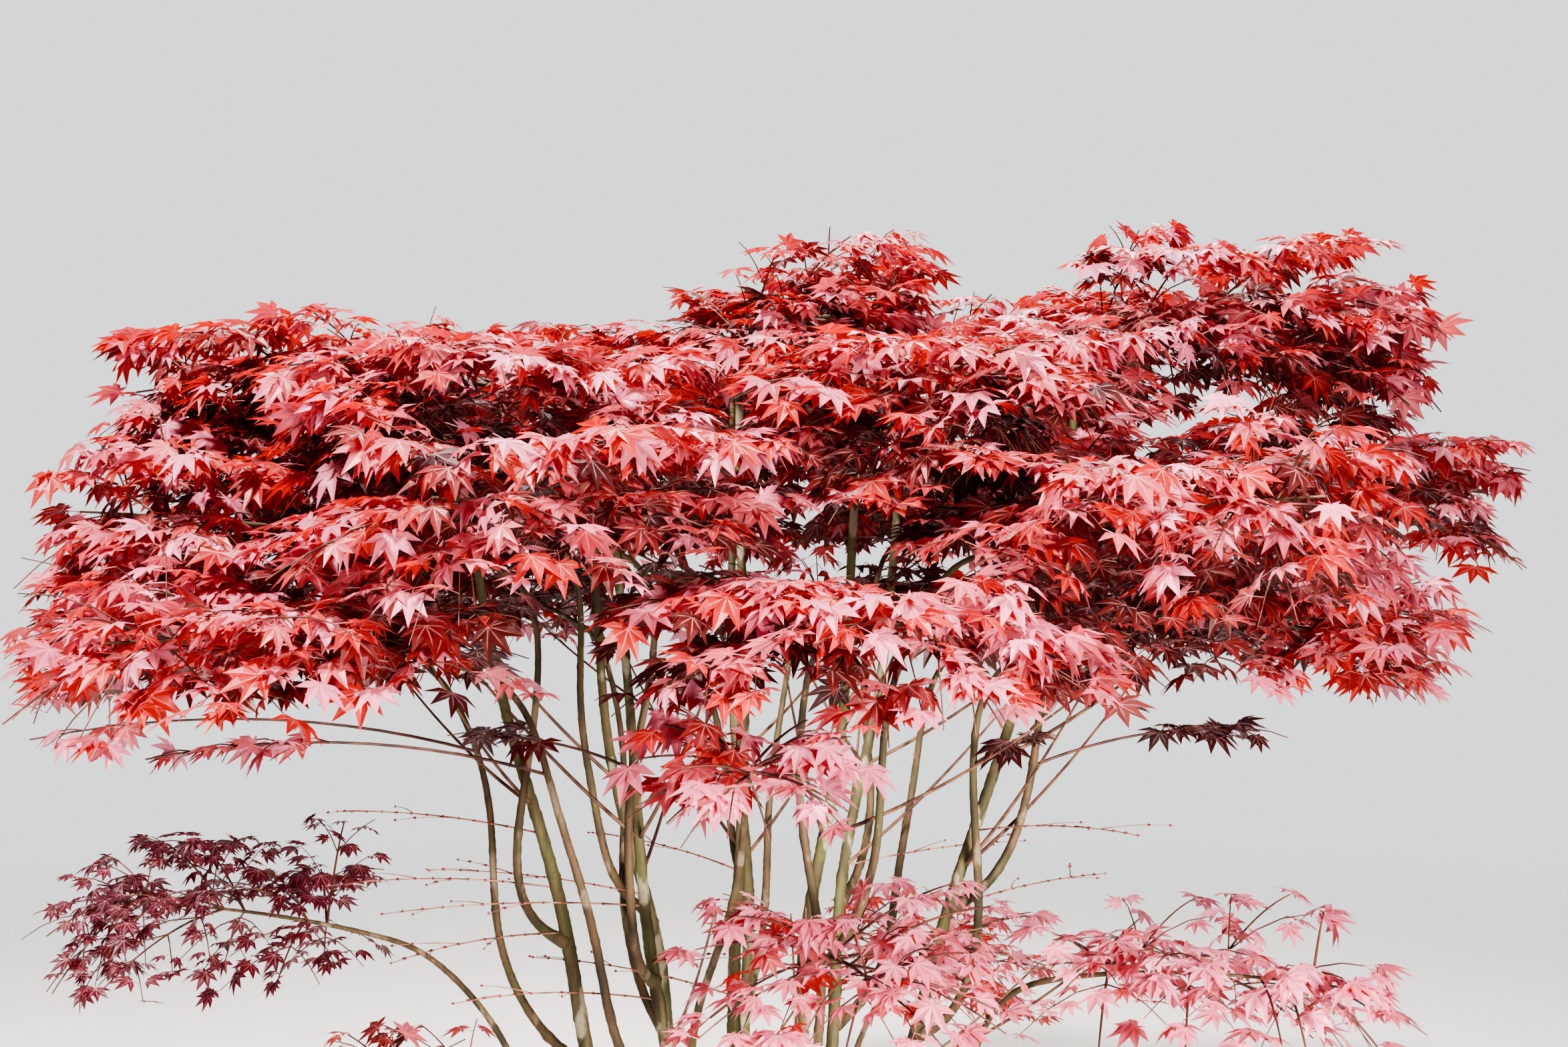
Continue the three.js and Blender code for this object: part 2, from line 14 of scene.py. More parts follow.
import bpy
import numpy as np
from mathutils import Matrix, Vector

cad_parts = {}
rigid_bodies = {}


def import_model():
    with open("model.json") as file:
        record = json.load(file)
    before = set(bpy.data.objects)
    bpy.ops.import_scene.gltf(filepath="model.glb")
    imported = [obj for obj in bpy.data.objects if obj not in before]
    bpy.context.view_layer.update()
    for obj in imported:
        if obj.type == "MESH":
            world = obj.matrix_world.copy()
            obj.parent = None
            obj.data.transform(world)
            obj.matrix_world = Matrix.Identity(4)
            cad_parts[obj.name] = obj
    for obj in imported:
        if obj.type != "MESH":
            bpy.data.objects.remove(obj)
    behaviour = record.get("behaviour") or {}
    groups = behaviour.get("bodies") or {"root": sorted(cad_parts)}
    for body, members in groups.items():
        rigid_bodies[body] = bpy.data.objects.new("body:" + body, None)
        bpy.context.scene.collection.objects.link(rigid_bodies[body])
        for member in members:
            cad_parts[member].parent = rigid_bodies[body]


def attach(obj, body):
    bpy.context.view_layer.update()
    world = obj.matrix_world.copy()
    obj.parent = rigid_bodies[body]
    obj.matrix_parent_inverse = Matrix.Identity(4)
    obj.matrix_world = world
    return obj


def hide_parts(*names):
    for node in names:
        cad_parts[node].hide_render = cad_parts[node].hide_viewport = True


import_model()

bl_info = {
    "name": "Japanese Maple",
    "version": (1, 0, 0),
    "blender": (4, 5, 0),
    "location": "3D View > Sidebar > Maple",
    "description": "Grows bark, twigs and leaves on the limbs of a Japanese maple",
    "category": "Object",
}

BODY = "root"

UP = np.array([0.0, 0.0, 1.0])

# A direction that no limb follows, and a nudge that keeps a direction from having no length
SLANT = UP + 0.1
NUDGE = 1e-6

# How many points of a limb are tried, and the step along a twig that gives its direction
LIMB_SAMPLES = 40
TWIG_STEP = 0.02

# The range of a random phase, in radians
PHASES = (0, 6)

# Limbs and spaces of the foliage, by the rule of the solids

# How far the crown reaches to each side
REACH = {"right": 1.4, "left": 1.35, "front": 1.215, "back": 1.235}

# The root crown, from which the stems rise
CROWN = {
    "height": 0.196,
    "ground_radius": 0.132,
    "flare_height": 0.118,
    "waist_radius": 0.08,
    "shoulder_height": 0.096,
    "dome_depth": 0.86,
    "lean": 0.012,
    "buttresses": 5,
    "buttress_depth": 0.15,
    "buttress_top": 0.2,
    "buttress_turn": 0.6,
}

# Where a stem starts inside the root crown, and how far out and up its bend is on the way to its tip
STEM = {
    "start_reach": 0.054,
    "start_height": 0.104,
    "tip_radius": 0.0065,
    "belly_reach": 0.66,
    "belly_height": 0.34,
    "taper": 1.1,
    "sides": 18,
}

# Name, azimuth, radius of the foot, reach and height of the crest mass
STEMS = [
    ("middle", 20, 0.015, 0.13, 1.85),
    ("right", 356, 0.016, 0.79, 1.832),
    ("back_right", 47, 0.015, 0.64, 1.77),
    ("back", 95, 0.015, 0.65, 1.786),
    ("back_left", 140, 0.015, 0.62, 1.74),
    ("left", 185, 0.018, 0.712, 1.7),
    ("front_left", 237, 0.015, 0.61, 1.662),
    ("front_right", 297, 0.015, 0.61, 1.67),
]

# Half sizes of the masses on the stems' tips, outwards, across and upwards, and where a stem enters one:
# its share of the way to the inner edge, and its share of the half height
CREST = {"size": (0.41, 0.39, 0.172), "middle_size": (0.26, 0.32, 0.156), "entry": (0.56, -0.78)}

# The two tiers of masses on boughs below the crests, whose heights rise and fall in a wave round the
# plant. A bough leaves its stem at the place called leaves
TIER_ENTRY = (0.84, -0.42)
TIER_WAVE_STEP = 2.4
TIERS = [
    {
        "name": "shoulder",
        "height": 1.538,
        "size": (0.4, 0.42, 0.165),
        "turn": 12,
        "leaves": 0.54,
        "wave": 0.03,
        "front_drop": 0.04,
        "right_inset": 0.0,
        "left_inset": 0.17,
        "foot_radius": 0.0095,
    },
    {
        "name": "skirt",
        "height": 1.335,
        "size": (0.39, 0.43, 0.126),
        "turn": -14,
        "leaves": 0.4,
        "wave": 0.024,
        "front_drop": 0.0,
        "right_inset": 0.185,
        "left_inset": 0.0,
        "foot_radius": 0.0085,
    },
]

LOW_ENTRY = (0.84, -0.3)

# The low spray in the crown's shade, which has small leaves, darkened to plum-red as painted shade
SHADED = "foliage_low_left"

# Name, stem, azimuth, reach, height, half sizes, and the place on the stem where the bough leaves it
LOW_SPRAYS = [
    ("low_left", "left", 180, 0.89, 0.83, (0.33, 0.28, 0.158), 0.16),
    ("low_front", "front_right", 283, 0.7, 0.872, (0.3, 0.3, 0.12), 0.24),
    ("low_right", "right", 322, 0.865, 0.826, (0.32, 0.33, 0.122), 0.2),
    ("low_front_left", "front_left", 222, 0.69, 0.62, (0.27, 0.26, 0.104), 0.13),
    ("low_back", "back_right", 62, 0.79, 0.61, (0.31, 0.31, 0.118), 0.22),
    ("low_centre", "front_left", 271, 0.9, 1.17, (0.21, 0.19, 0.08), 0.32),
]

# Small sprays on twigs that hang under the crown: name, azimuth, reach, height and half sizes
HANGING_SPRAYS = [
    ("hanging_left", 213, 0.9, 1.155, (0.15, 0.12, 0.055)),
    ("hanging_far_left", 191, 1.06, 1.15, (0.13, 0.11, 0.05)),
    ("hanging_right", 8, 0.76, 1.13, (0.17, 0.16, 0.06)),
    ("hanging_middle_right", 332, 0.42, 1.15, (0.13, 0.13, 0.055)),
    ("hanging_middle_left", 224, 0.45, 1.17, (0.13, 0.12, 0.055)),
]

# The twig of such a spray leaves the nearest limb, at least drop below the spray's entry, and has pairs
# of small twigs past the place called first
HANGING_TWIG = {
    "drop": 0.03,
    "places": (0.35, 0.9),
    "arch": 0.12,
    "radius": (0.0028, 0.0014),
    "samples": 14,
    "first": 0.56,
    "pairs": 4,
    "length": (0.07, 0.13),
}

# A bough's radii, its turn outwards from the stem, its rise at the tip, and the lengths of its handles
BOUGH = {
    "tip_radius": 0.0046,
    "foot_share": 0.62,
    "foot_spare": 0.0015,
    "low_foot_radius": 0.007,
    "turn_out": 0.72,
    "finish_rise": 0.28,
    "foot_handle": 0.36,
    "tip_handle": 0.34,
    "sides": 12,
}

# How far a limb wanders to either side, as a share of its run, and in how many half waves
WANDER = {"share": 0.014, "half_waves": (2.2, 3.4)}

# Seed of the first mass, from which the others count on
FIRST_SEED = 71

# The stem of a mass: how far its plan angle strays, where it bends, and its lift at the tip
MASS_STEM = {
    "angle_jitter": 8,
    "bend": 0.42,
    "tip_lift": 0.12,
    "share": 0.78,
    "tip_radius": 0.0016,
    "before_tip": 0.95,
}

# The shape of a mass's space, and how far it may run over its seam with the next one
SPACE = {"power": 4, "edge": 1.0, "seam": 0.06}

# Decks of side twigs in each mass: how high each ends, as a share of the half height, and the plan
# angles of its pairs from the stem
DECKS = {
    "full": [(0.74, (14, 50, 90, 134)), (0.1, (30, 70, 112, 152)), (-0.52, (12, 48, 88, 130))],
    "airy": [(0.8, (22, 70, 124)), (0.1, (36, 98)), (-0.66, (16, 66, 110))],
    "fine": [(0.8, (22, 70, 124)), (0.1, (30, 76, 118)), (-0.66, (16, 66, 110))],
}

# One more deck at the underside of a crest
UNDER_CREST = [(-0.8, (22, 66, 114))]

# A side twig: how near it comes to the edge of its space, how it strays, and how the outer ones of a
# tier and of a crest sag: by how much, and the least share of that for the ones that point inwards
SIDE_TWIG = {
    "share": 0.93,
    "vary": (0.74, 1.1),
    "furthest": 0.97,
    "most_lift": 0.95,
    "angle_jitter": 11,
    "lift_jitter": 0.3,
    "tier": (0.5, 0.0),
    "crest": (0.7, 0.65),
    "lifts": (-0.84, 0.86),
    "stagger": 0.12,
    "bare_end": 0.6,
    "arch": 0.15,
    "radius": (0.0024, 0.0012),
    "samples": 12,
    "shortest": 0.08,
}

# Small twigs leave a side twig in opposite pairs. The luck of one is part its side twig's, part its own
SMALL_TWIG = {
    "luck": (0.6, 0.4),
    "first": 0.2,
    "spacing": {"full": 0.064, "airy": 0.1, "fine": 0.066},
    "spread": (34, 62),
    "length": (0.16, 0.07),
    "vary": (0.65, 1.25),
    "rise": 0.12,
    "droop": 0.14,
    "radius": (0.0013, 0.0008),
    "samples": 4,
    "shortest": 0.025,
}

# Pairs of leaves along a small twig, and how far a leaf leans out from the plant and hangs down, which
# it does more towards the rim. The leaves of a mass whose centre is below low_below are smaller
LEAFING = {
    "spacing": {"full": 0.037, "airy": 0.054, "fine": 0.036},
    "spread": (40, 75),
    "end_spread": (18, 42),
    "uneven": 0.35,
    "third_leaf": 0.5,
    "outward": (0.0, 0.75),
    "rim_start": 0.35,
    "rim_width": 0.6,
    "rim_pitch": 12,
    "pitch_jitter": 17,
    "pitches": (-22, 56),
    "roll": 0.32,
    "size": (0.72, 1.2),
    "limb_gap": 0.006,
    "rim_gap": 0.062,
    "low_below": 1.0,
}

# Thin branches that fan out from the stems under the crown and end among its leaves
BRANCH = {
    "places": (0.36, 0.47, 0.58, 0.69),
    "swing": (20, 75),
    "slope": (0.5, 1.3),
    "length": (0.34, 0.62),
    "bend": 0.1,
    "radius": (0.0036, 0.0014),
    "samples": 16,
    "tries": 12,
    "depth": 0.85,
    "sides": 7,
}

# Bare twigs low on the stems, with small opposite buds: stem, place on it, azimuth from the stem's own,
# length and slope
BARE_TWIGS = [
    ("left", 0.66, -28, 0.42, 0.16),
    ("left", 0.6, 16, 0.4, 0.2),
    ("left", 0.55, 40, 0.36, 0.12),
    ("back_left", 0.56, 46, 0.4, 0.25),
    ("front_left", 0.62, -50, 0.42, 0.1),
    ("front_left", 0.52, -24, 0.38, 0.24),
    ("front_left", 0.56, 52, 0.3, 0.3),
    ("middle", 0.44, 150, 0.36, 0.3),
    ("back", 0.56, 60, 0.34, 0.3),
    ("back_right", 0.58, -46, 0.34, 0.25),
    ("right", 0.54, 40, 0.36, 0.2),
    ("right", 0.62, -36, 0.34, 0.2),
    ("front_right", 0.58, 44, 0.34, 0.2),
]
BARE_TWIG = {
    "radius": (0.0018, 0.0007),
    "sides": 6,
    "samples": 14,
    "droop": 0.12,
    "wander": 0.05,
    "stray": (-0.1, 0.1),
    "side_places": (0.38, 0.6, 0.8),
    "side_swing": 42,
    "swing_vary": (0.7, 1.2),
    "side_length": 0.26,
    "length_vary": (0.6, 1.3),
    "side_thickness": 0.6,
    "bud_spacing": 0.03,
    "bud_length": 0.007,
    "bud_width": 0.36,
    "bud_belly": 0.35,
    "bud_lean": 35,
}

# A leaf, in lengths of its middle lobe: each lobe's angle, length and half width
LOBES = [
    (-78, 0.76, 0.135),
    (-38, 0.94, 0.155),
    (0, 1.0, 0.165),
    (38, 0.94, 0.155),
    (78, 0.76, 0.135),
]

# The rest of the leaf, and how its forms differ
LEAF = {
    "petiole": 0.5,
    "petiole_radius": 0.013,
    "middle": 0.4,
    "widest": 0.47,
    "widest_vary": (0.88, 1.12),
    "notch": 0.34,
    "notch_lift": 0.1,
    "fold": 0.34,
    "fold_vary": (0.6, 1.3),
    "droop": (0.08, 0.28),
    "tilt": (2, 24),
    "angle_vary": (-4, 4),
    "length_vary": (0.93, 1.06),
    "width_vary": (0.9, 1.12),
    "tip_vary": (-3, 3),
    "basal_angle": 124,
    "basal_length": 0.4,
    "basal_notch": 0.2,
    "back_angle": 162,
    "back_reach": 0.1,
    "forms": 5,
    "first_seed": 100,
}

# How clearly the midribs show at the tips of the lobes and of the two small ones
VEIN_ENDS = {"lobe": 0.7, "small_lobe": 0.5}


def seeded(seed):
    """Random numbers from 0 to 1 that are the same at every run."""
    mask = 0xFFFFFFFF
    state = seed & mask

    def draw():
        nonlocal state
        state = (state + 0x6D2B79F5) & mask
        mixed = ((state ^ (state >> 15)) * (state | 1)) & mask
        mixed ^= (mixed + (((mixed ^ (mixed >> 7)) * (mixed | 61)) & mask)) & mask
        return (mixed ^ (mixed >> 14)) / (mask + 1)

    return draw


def between(draw, low, high):
    return low + (high - low) * draw()


def unit(vector):
    """Vectors of the same directions and of length 1."""
    return vector / np.linalg.norm(vector, axis=-1, keepdims=True)


def polar(azimuth, reach, height):
    """The point at an azimuth, at a reach from the axis and at a height."""
    angle = math.radians(azimuth)
    return np.array([reach * math.cos(angle), reach * math.sin(angle), height])


def turned(vector, degrees):
    """A vector turned about the upright axis."""
    cosine, sine = math.cos(math.radians(degrees)), math.sin(math.radians(degrees))
    x, y, z = vector
    return np.array([x * cosine - y * sine, x * sine + y * cosine, z])


def crown_reach(azimuth):
    """The crown's reach at an azimuth, blended smoothly from its four sides."""
    across = math.cos(math.radians(azimuth))
    along = math.sin(math.radians(azimuth))
    side = REACH["right"] if across > 0 else REACH["left"]
    end = REACH["back"] if along > 0 else REACH["front"]
    return side * across**2 + end * along**2


def bezier(handles, places):
    """Points of a Bezier curve at places from 0 to 1."""
    degree = len(handles) - 1
    places = np.asarray(places, float)[..., None]
    return sum(
        math.comb(degree, k) * (1 - places) ** (degree - k) * places**k * np.asarray(handle)
        for k, handle in enumerate(handles)
    )


class GrownCurve:
    """A Bezier curve that wanders a little to either side between its ends, as a grown limb does."""

    def __init__(self, handles, seed):
        self.handles = handles
        draw = seeded(seed)
        run = handles[-1] - handles[0]
        self.side = unit(np.cross(run, UP))
        self.rise = unit(np.cross(self.side, run))
        self.amplitude = np.linalg.norm(run) * WANDER["share"]
        self.waves = []
        for _ in range(2):
            rate = math.pi * between(draw, *WANDER["half_waves"])
            self.waves.append((rate, 2 * math.pi * draw()))

    def points(self, places):
        places = np.asarray(places, float)
        held = self.amplitude * np.sin(np.pi * places) ** 2
        sideways, upwards = (held * np.sin(rate * places + phase) for rate, phase in self.waves)
        wander = sideways[..., None] * self.side + upwards[..., None] * self.rise
        return bezier(self.handles, places) + wander

    def tangent(self, place):
        step = 1e-4
        ends = self.points([max(0.0, place - step), min(1.0, place + step)])
        return unit(ends[1] - ends[0])


class Mass:
    """The space of one mass of foliage: a flat pad with a rounded rim."""

    def __init__(self, name, azimuth, reach, height, size, entry):
        self.name = name
        self.centre = polar(azimuth, reach, height)
        self.size = size
        self.outward = polar(azimuth, 1, 0)
        self.across = np.cross(UP, self.outward)
        self.entry = self.point(180, *entry)
        self.low = not name.endswith(("crest", "shoulder", "skirt"))
        self.habit = "fine" if name == SHADED else "airy" if self.low else "full"
        self.sag, self.dome = SIDE_TWIG["crest" if name.endswith("crest") else "tier"]
        self.limb = None

    def point(self, plan_angle, share, lift):
        """A point of the space, by its plan angle from outwards and its shares of the half sizes."""
        plan = math.radians(plan_angle)
        out = self.size[0] * share * math.cos(plan) * self.outward
        aside = self.size[1] * share * math.sin(plan) * self.across
        return self.centre + out + aside + self.size[2] * lift * UP

    def depth(self, points):
        """How deep points lie in the space: 0 at its centre and 1 at its edge."""
        away = points - self.centre
        plan = np.hypot(away @ self.outward / self.size[0], away @ self.across / self.size[1])
        lift = np.abs(away[..., 2] / self.size[2])
        return (plan ** SPACE["power"] + lift ** SPACE["power"]) ** (1 / SPACE["power"])


class Limb:
    """A stem or bough: its curve, its radii, its parent and the mass that it ends in."""

    def __init__(self, name, mass, curve, foot_radius, tip_radius, taper, parent=None):
        self.name = name
        self.mass = mass
        self.curve = curve
        self.foot_radius = foot_radius
        self.tip_radius = tip_radius
        self.taper = taper
        self.parent = parent
        mass.limb = self

    def radius(self, place):
        return self.tip_radius + (self.foot_radius - self.tip_radius) * (1 - place) ** self.taper


def crest_stem(row, seed):
    """A stem from the root crown to its crest mass."""
    name, azimuth, foot_radius, reach, height = row
    size = CREST["middle_size"] if name == "middle" else CREST["size"]
    mass = Mass(f"foliage_{name}_crest", azimuth, reach, height, size, CREST["entry"])
    foot = polar(azimuth, 0 if name == "middle" else STEM["start_reach"], STEM["start_height"])
    foot[0] -= CROWN["lean"] * STEM["start_height"] / CROWN["height"]
    belly = foot + (mass.entry - foot) * STEM["belly_reach"]
    belly[2] = foot[2] + (mass.entry[2] - foot[2]) * STEM["belly_height"]
    curve = GrownCurve([foot, belly, mass.entry], seed)
    return Limb(f"stem_{name}", mass, curve, foot_radius, STEM["tip_radius"], STEM["taper"])


def bough_of(name, parent, place, mass, foot_radius, seed):
    """A bough from its stem to its mass."""
    foot = parent.curve.points(place)
    run = np.linalg.norm(mass.entry - foot)
    along = parent.curve.tangent(place)
    start = unit(along + (mass.outward - along) * BOUGH["turn_out"])
    finish = unit(mass.outward + UP * BOUGH["finish_rise"])
    handles = [
        foot,
        foot + start * run * BOUGH["foot_handle"],
        mass.entry - finish * run * BOUGH["tip_handle"],
        mass.entry,
    ]
    radius = min(foot_radius, parent.radius(place) * BOUGH["foot_share"] + BOUGH["foot_spare"])
    return Limb(f"bough_{name}", mass, GrownCurve(handles, seed), radius, BOUGH["tip_radius"], 1, parent)


def tier_mass(name, azimuth, tier, index):
    """The space of a tier's mass, inside the crown's reach."""
    azimuth += tier["turn"]
    across = math.cos(math.radians(azimuth))
    inset = tier["right_inset" if across > 0 else "left_inset"] * across**2
    reach = crown_reach(azimuth) - tier["size"][0] - inset
    front = max(0.0, -math.sin(math.radians(azimuth)))
    wave = tier["wave"] * math.cos(TIER_WAVE_STEP * index + tier["turn"])
    height = tier["height"] + wave - tier["front_drop"] * front
    return Mass(f"foliage_{name}_{tier['name']}", azimuth, reach, height, tier["size"], TIER_ENTRY)


def all_limbs():
    """Every stem and bough, in the order in which the solids are grown."""
    limbs = [crest_stem(STEMS[0], 0)]
    for index, row in enumerate(STEMS[1:]):
        stem = crest_stem(row, len(limbs) + 1)
        limbs.append(stem)
        for tier in TIERS:
            mass = tier_mass(row[0], row[1], tier, index)
            name = f"{row[0]}_{tier['name']}"
            limbs.append(bough_of(name, stem, tier["leaves"], mass, tier["foot_radius"], len(limbs) + 1))
    for name, stem, azimuth, reach, height, size, leaves in LOW_SPRAYS:
        mass = Mass(f"foliage_{name}", azimuth, reach, height, size, LOW_ENTRY)
        parent = next(limb for limb in limbs if limb.name == f"stem_{stem}")
        limbs.append(bough_of(name, parent, leaves, mass, BOUGH["low_foot_radius"], len(limbs) + 1))
    return limbs


LIMBS = all_limbs()
MASSES = [limb.mass for limb in LIMBS]
HANGING = [Mass(*row, LOW_ENTRY) for row in HANGING_SPRAYS]


# Growth of twigs and leaves


def room(mass, points):
    """Which points lie in a mass's space, up to its seams with the masses beside it."""
    own = mass.depth(points)
    others = np.min([other.depth(points) for other in MASSES if other is not mass], axis=0)
    return (own <= SPACE["edge"]) & (own < others + SPACE["seam"])


def kept_share(mass, points):
    """How far along a row of points a twig can go before it leaves its mass's space."""
    inside = room(mass, points)
    return 1.0 if inside.all() else np.argmin(inside) / (len(points) - 1)


def mass_stem(mass, index):
    """The handles of a mass's own stem, which goes on from the tip of its limb."""
    draw = seeded(FIRST_SEED + index)
    plan_angle = between(draw, -MASS_STEM["angle_jitter"], MASS_STEM["angle_jitter"])
    tip = mass.point(plan_angle, MASS_STEM["share"], MASS_STEM["tip_lift"])
    run = np.linalg.norm(tip - mass.entry)
    bend = mass.entry + mass.limb.curve.tangent(1.0) * run * MASS_STEM["bend"]
    return [mass.entry, bend, tip]


class Growth:
    """The twigs and leaves of the whole plant as they are grown, mass by mass."""

    def __init__(self):
        self.twigs = []
        self.leaves = []

    def add_twig(self, points, radii):
        self.twigs.append((points, np.linspace(*radii, len(points))))

    def add_leaf(self, mass, spray, base, heading, rng):
        out = unit(np.array([base[0], base[1], 0.0]) + NUDGE)
        lean = rng.uniform(*LEAFING["outward"])
        level = unit(unit(np.array([heading[0], heading[1], 0.0])) + lean * out)
        self.leaves.append((mass, spray, base, level, rng.standard_normal(3), rng.random(4)))

    def grow_small_twig(self, mass, side_luck, start, heading, length, rng):
        """A small twig with its pairs of leaves, as far as it stays in its mass's space."""
        from_side, from_chance = SMALL_TWIG["luck"]
        spray = from_side * side_luck + from_chance * rng.random()
        bend = start + heading * length * 0.5 + UP * length * SMALL_TWIG["rise"]
        handles = [start, bend, start + heading * length - UP * length * SMALL_TWIG["droop"]]
        share = kept_share(mass, bezier(handles, np.linspace(0, 1, SMALL_TWIG["samples"] + 1)))
        if share * length < SMALL_TWIG["shortest"]:
            return
        points = bezier(handles, np.linspace(0, share, SMALL_TWIG["samples"]))
        self.add_twig(points, SMALL_TWIG["radius"])
        along = unit(points[-1] - points[0])
        pairs = int(share * length / LEAFING["spacing"][mass.habit])
        for k in range(1, pairs + 1):
            base = bezier(handles, share * (k - LEAFING["uneven"] * (k % 2)) / (pairs + 1))
            for hand in (-1, 1):
                spread = hand * rng.uniform(*LEAFING["spread"])
                self.add_leaf(mass, spray, base, turned(along, spread), rng)
        self.end_leaves(mass, spray, points[-1], along, rng)

    def end_leaves(self, mass, spray, base, along, rng):
        for hand in (-1, 1):
            spread = hand * rng.uniform(*LEAFING["end_spread"])
            self.add_leaf(mass, spray, base, turned(along, spread), rng)
        if rng.random() < LEAFING["third_leaf"]:
            self.add_leaf(mass, spray, base, along, rng)

    def grow_side_twig(self, mass, start, plan_angle, lift, rng):
        """A side twig with its pairs of small twigs, as far as it stays in its mass's space."""
        luck = rng.random()
        plan_angle += rng.uniform(-1, 1) * SIDE_TWIG["angle_jitter"]
        lift += rng.uniform(-1, 1) * SIDE_TWIG["lift_jitter"]
        power = SPACE["power"]
        height = min(abs(lift), SIDE_TWIG["most_lift"])
        share = SIDE_TWIG["share"] * (1 - height**power) ** (1 / power)
        share = min(SIDE_TWIG["furthest"], share * rng.uniform(*SIDE_TWIG["vary"]))
        outer = share * max(mass.dome, math.cos(math.radians(plan_angle)))
        lift = float(np.clip(lift - mass.sag * outer**2, *SIDE_TWIG["lifts"]))
        tip = mass.point(plan_angle, share, lift)
        length = np.linalg.norm(tip - start)
        bend = (start + tip) / 2 + UP * length * SIDE_TWIG["arch"]
        handles = [start, bend, tip]
        kept = kept_share(mass, bezier(handles, np.linspace(0, 1, SIDE_TWIG["samples"] + 1)))
        if kept * length < SIDE_TWIG["shortest"]:
            return
        points = bezier(handles, np.linspace(0, kept, SIDE_TWIG["samples"]))
        self.add_twig(points, SIDE_TWIG["radius"])
        first, (foot_size, end_size) = SMALL_TWIG["first"], SMALL_TWIG["length"]
        nodes = int(kept * length * (1 - first) / SMALL_TWIG["spacing"][mass.habit])
        for k in range(nodes):
            place = first + (1 - first) * k / max(1, nodes)
            here, ahead = bezier(handles, [place * kept, min(1.0, place * kept + TWIG_STEP)])
            along = unit(ahead - here)
            for hand in (-1, 1):
                heading = turned(along, hand * rng.uniform(*SMALL_TWIG["spread"]))
                size = foot_size + (end_size - foot_size) * place
                size *= rng.uniform(*SMALL_TWIG["vary"])
                self.grow_small_twig(mass, luck, here, heading, size, rng)
        self.end_leaves(mass, luck, points[-1], unit(points[-1] - points[-2]), rng)

    def grow_mass(self, mass, index):
        """The decks of side twigs along a mass's own stem."""
        rng = np.random.default_rng(FIRST_SEED + index)
        stem = mass_stem(mass, index)
        decks = DECKS[mass.habit] + (UNDER_CREST if mass.name.endswith("crest") else [])
        for lift, angles in decks:
            pairs = len(angles)
            for i, plan_angle in enumerate(angles):
                for hand in (-1, 1):
                    place = (pairs - i + hand * SIDE_TWIG["stagger"]) / (pairs + SIDE_TWIG["bare_end"])
                    self.grow_side_twig(mass, bezier(stem, place), hand * plan_angle, lift, rng)
        tip, before = bezier(stem, [1.0, MASS_STEM["before_tip"]])
        self.end_leaves(mass, rng.random(), tip, unit(tip - before), rng)

    def grow_hanging(self, mass, index):
        """A small spray at the end of a twig from the nearest limb beneath it."""
        rng = np.random.default_rng(FIRST_SEED - 1 - index)
        places = np.linspace(*HANGING_TWIG["places"], LIMB_SAMPLES)
        nodes = np.concatenate([limb.curve.points(places) for limb in LIMBS])
        nodes = nodes[nodes[:, 2] < mass.entry[2] - HANGING_TWIG["drop"]]
        start = nodes[np.argmin(np.linalg.norm(nodes - mass.entry, axis=1))]
        tip = mass.point(0, SIDE_TWIG["share"], 0)
        length = np.linalg.norm(tip - start)
        handles = [start, (start + tip) / 2 + UP * length * HANGING_TWIG["arch"], tip]
        points = bezier(handles, np.linspace(0, 1, HANGING_TWIG["samples"]))
        self.add_twig(points, HANGING_TWIG["radius"])
        luck = rng.random()
        for place in np.linspace(HANGING_TWIG["first"], 1, HANGING_TWIG["pairs"], endpoint=False):
            here, ahead = bezier(handles, [place, place + TWIG_STEP])
            for hand in (-1, 1):
                heading = turned(unit(ahead - here), hand * rng.uniform(*SMALL_TWIG["spread"]))
                size = rng.uniform(*HANGING_TWIG["length"])
                self.grow_small_twig(mass, luck, here, heading, size, rng)
        self.end_leaves(mass, luck, tip, unit(points[-1] - points[-2]), rng)


@functools.lru_cache(maxsize=1)
def grown():
    """The growth of the whole plant, worked out once for the twigs and the leaves."""
    growth = Growth()
    for index, mass in enumerate(MASSES):
        growth.grow_mass(mass, index)
    for index, mass in enumerate(HANGING):
        growth.grow_hanging(mass, index)
    return growth


def fan_branch(stem, place, hand, rng):
    """A thin branch from a place on a stem to the leaves above it, or None where no try gets there."""
    start = stem.curve.points(place)
    for _ in range(BRANCH["tries"]):
        out = turned(stem.mass.outward, hand * rng.uniform(*BRANCH["swing"]))
        heading = unit(out + UP * rng.uniform(*BRANCH["slope"]))
        length = rng.uniform(*BRANCH["length"])
        tip = start + heading * length
        bend = start + heading * length / 2 - UP * length * BRANCH["bend"]
        if min(mass.depth(tip) for mass in MASSES) < BRANCH["depth"]:
            points = bezier([start, bend, tip], np.linspace(0, 1, BRANCH["samples"]))
            return points, np.linspace(*BRANCH["radius"], BRANCH["samples"])
    return None


def fan_branches():
    rng = np.random.default_rng(FIRST_SEED)
    stems = [limb for limb in LIMBS if limb.parent is None]
    nodes = itertools.product(stems, BRANCH["places"], (-1, 1))
    branches = [fan_branch(stem, place, hand, rng) for stem, place, hand in nodes]
    return [branch for branch in branches if branch is not None]


def bare_twig(start, heading, length, rng):
    """The points of a bare twig that droops a little and wanders."""
    side = unit(np.cross(heading, UP))
    bend = start + heading * length * 0.5 + side * length * rng.uniform(-1, 1) * BARE_TWIG["wander"]
    tip = start + heading * length - UP * length * BARE_TWIG["droop"]
    tip += side * length * rng.uniform(*BARE_TWIG["stray"])
    return bezier([start, bend, tip], np.linspace(0, 1, BARE_TWIG["samples"]))


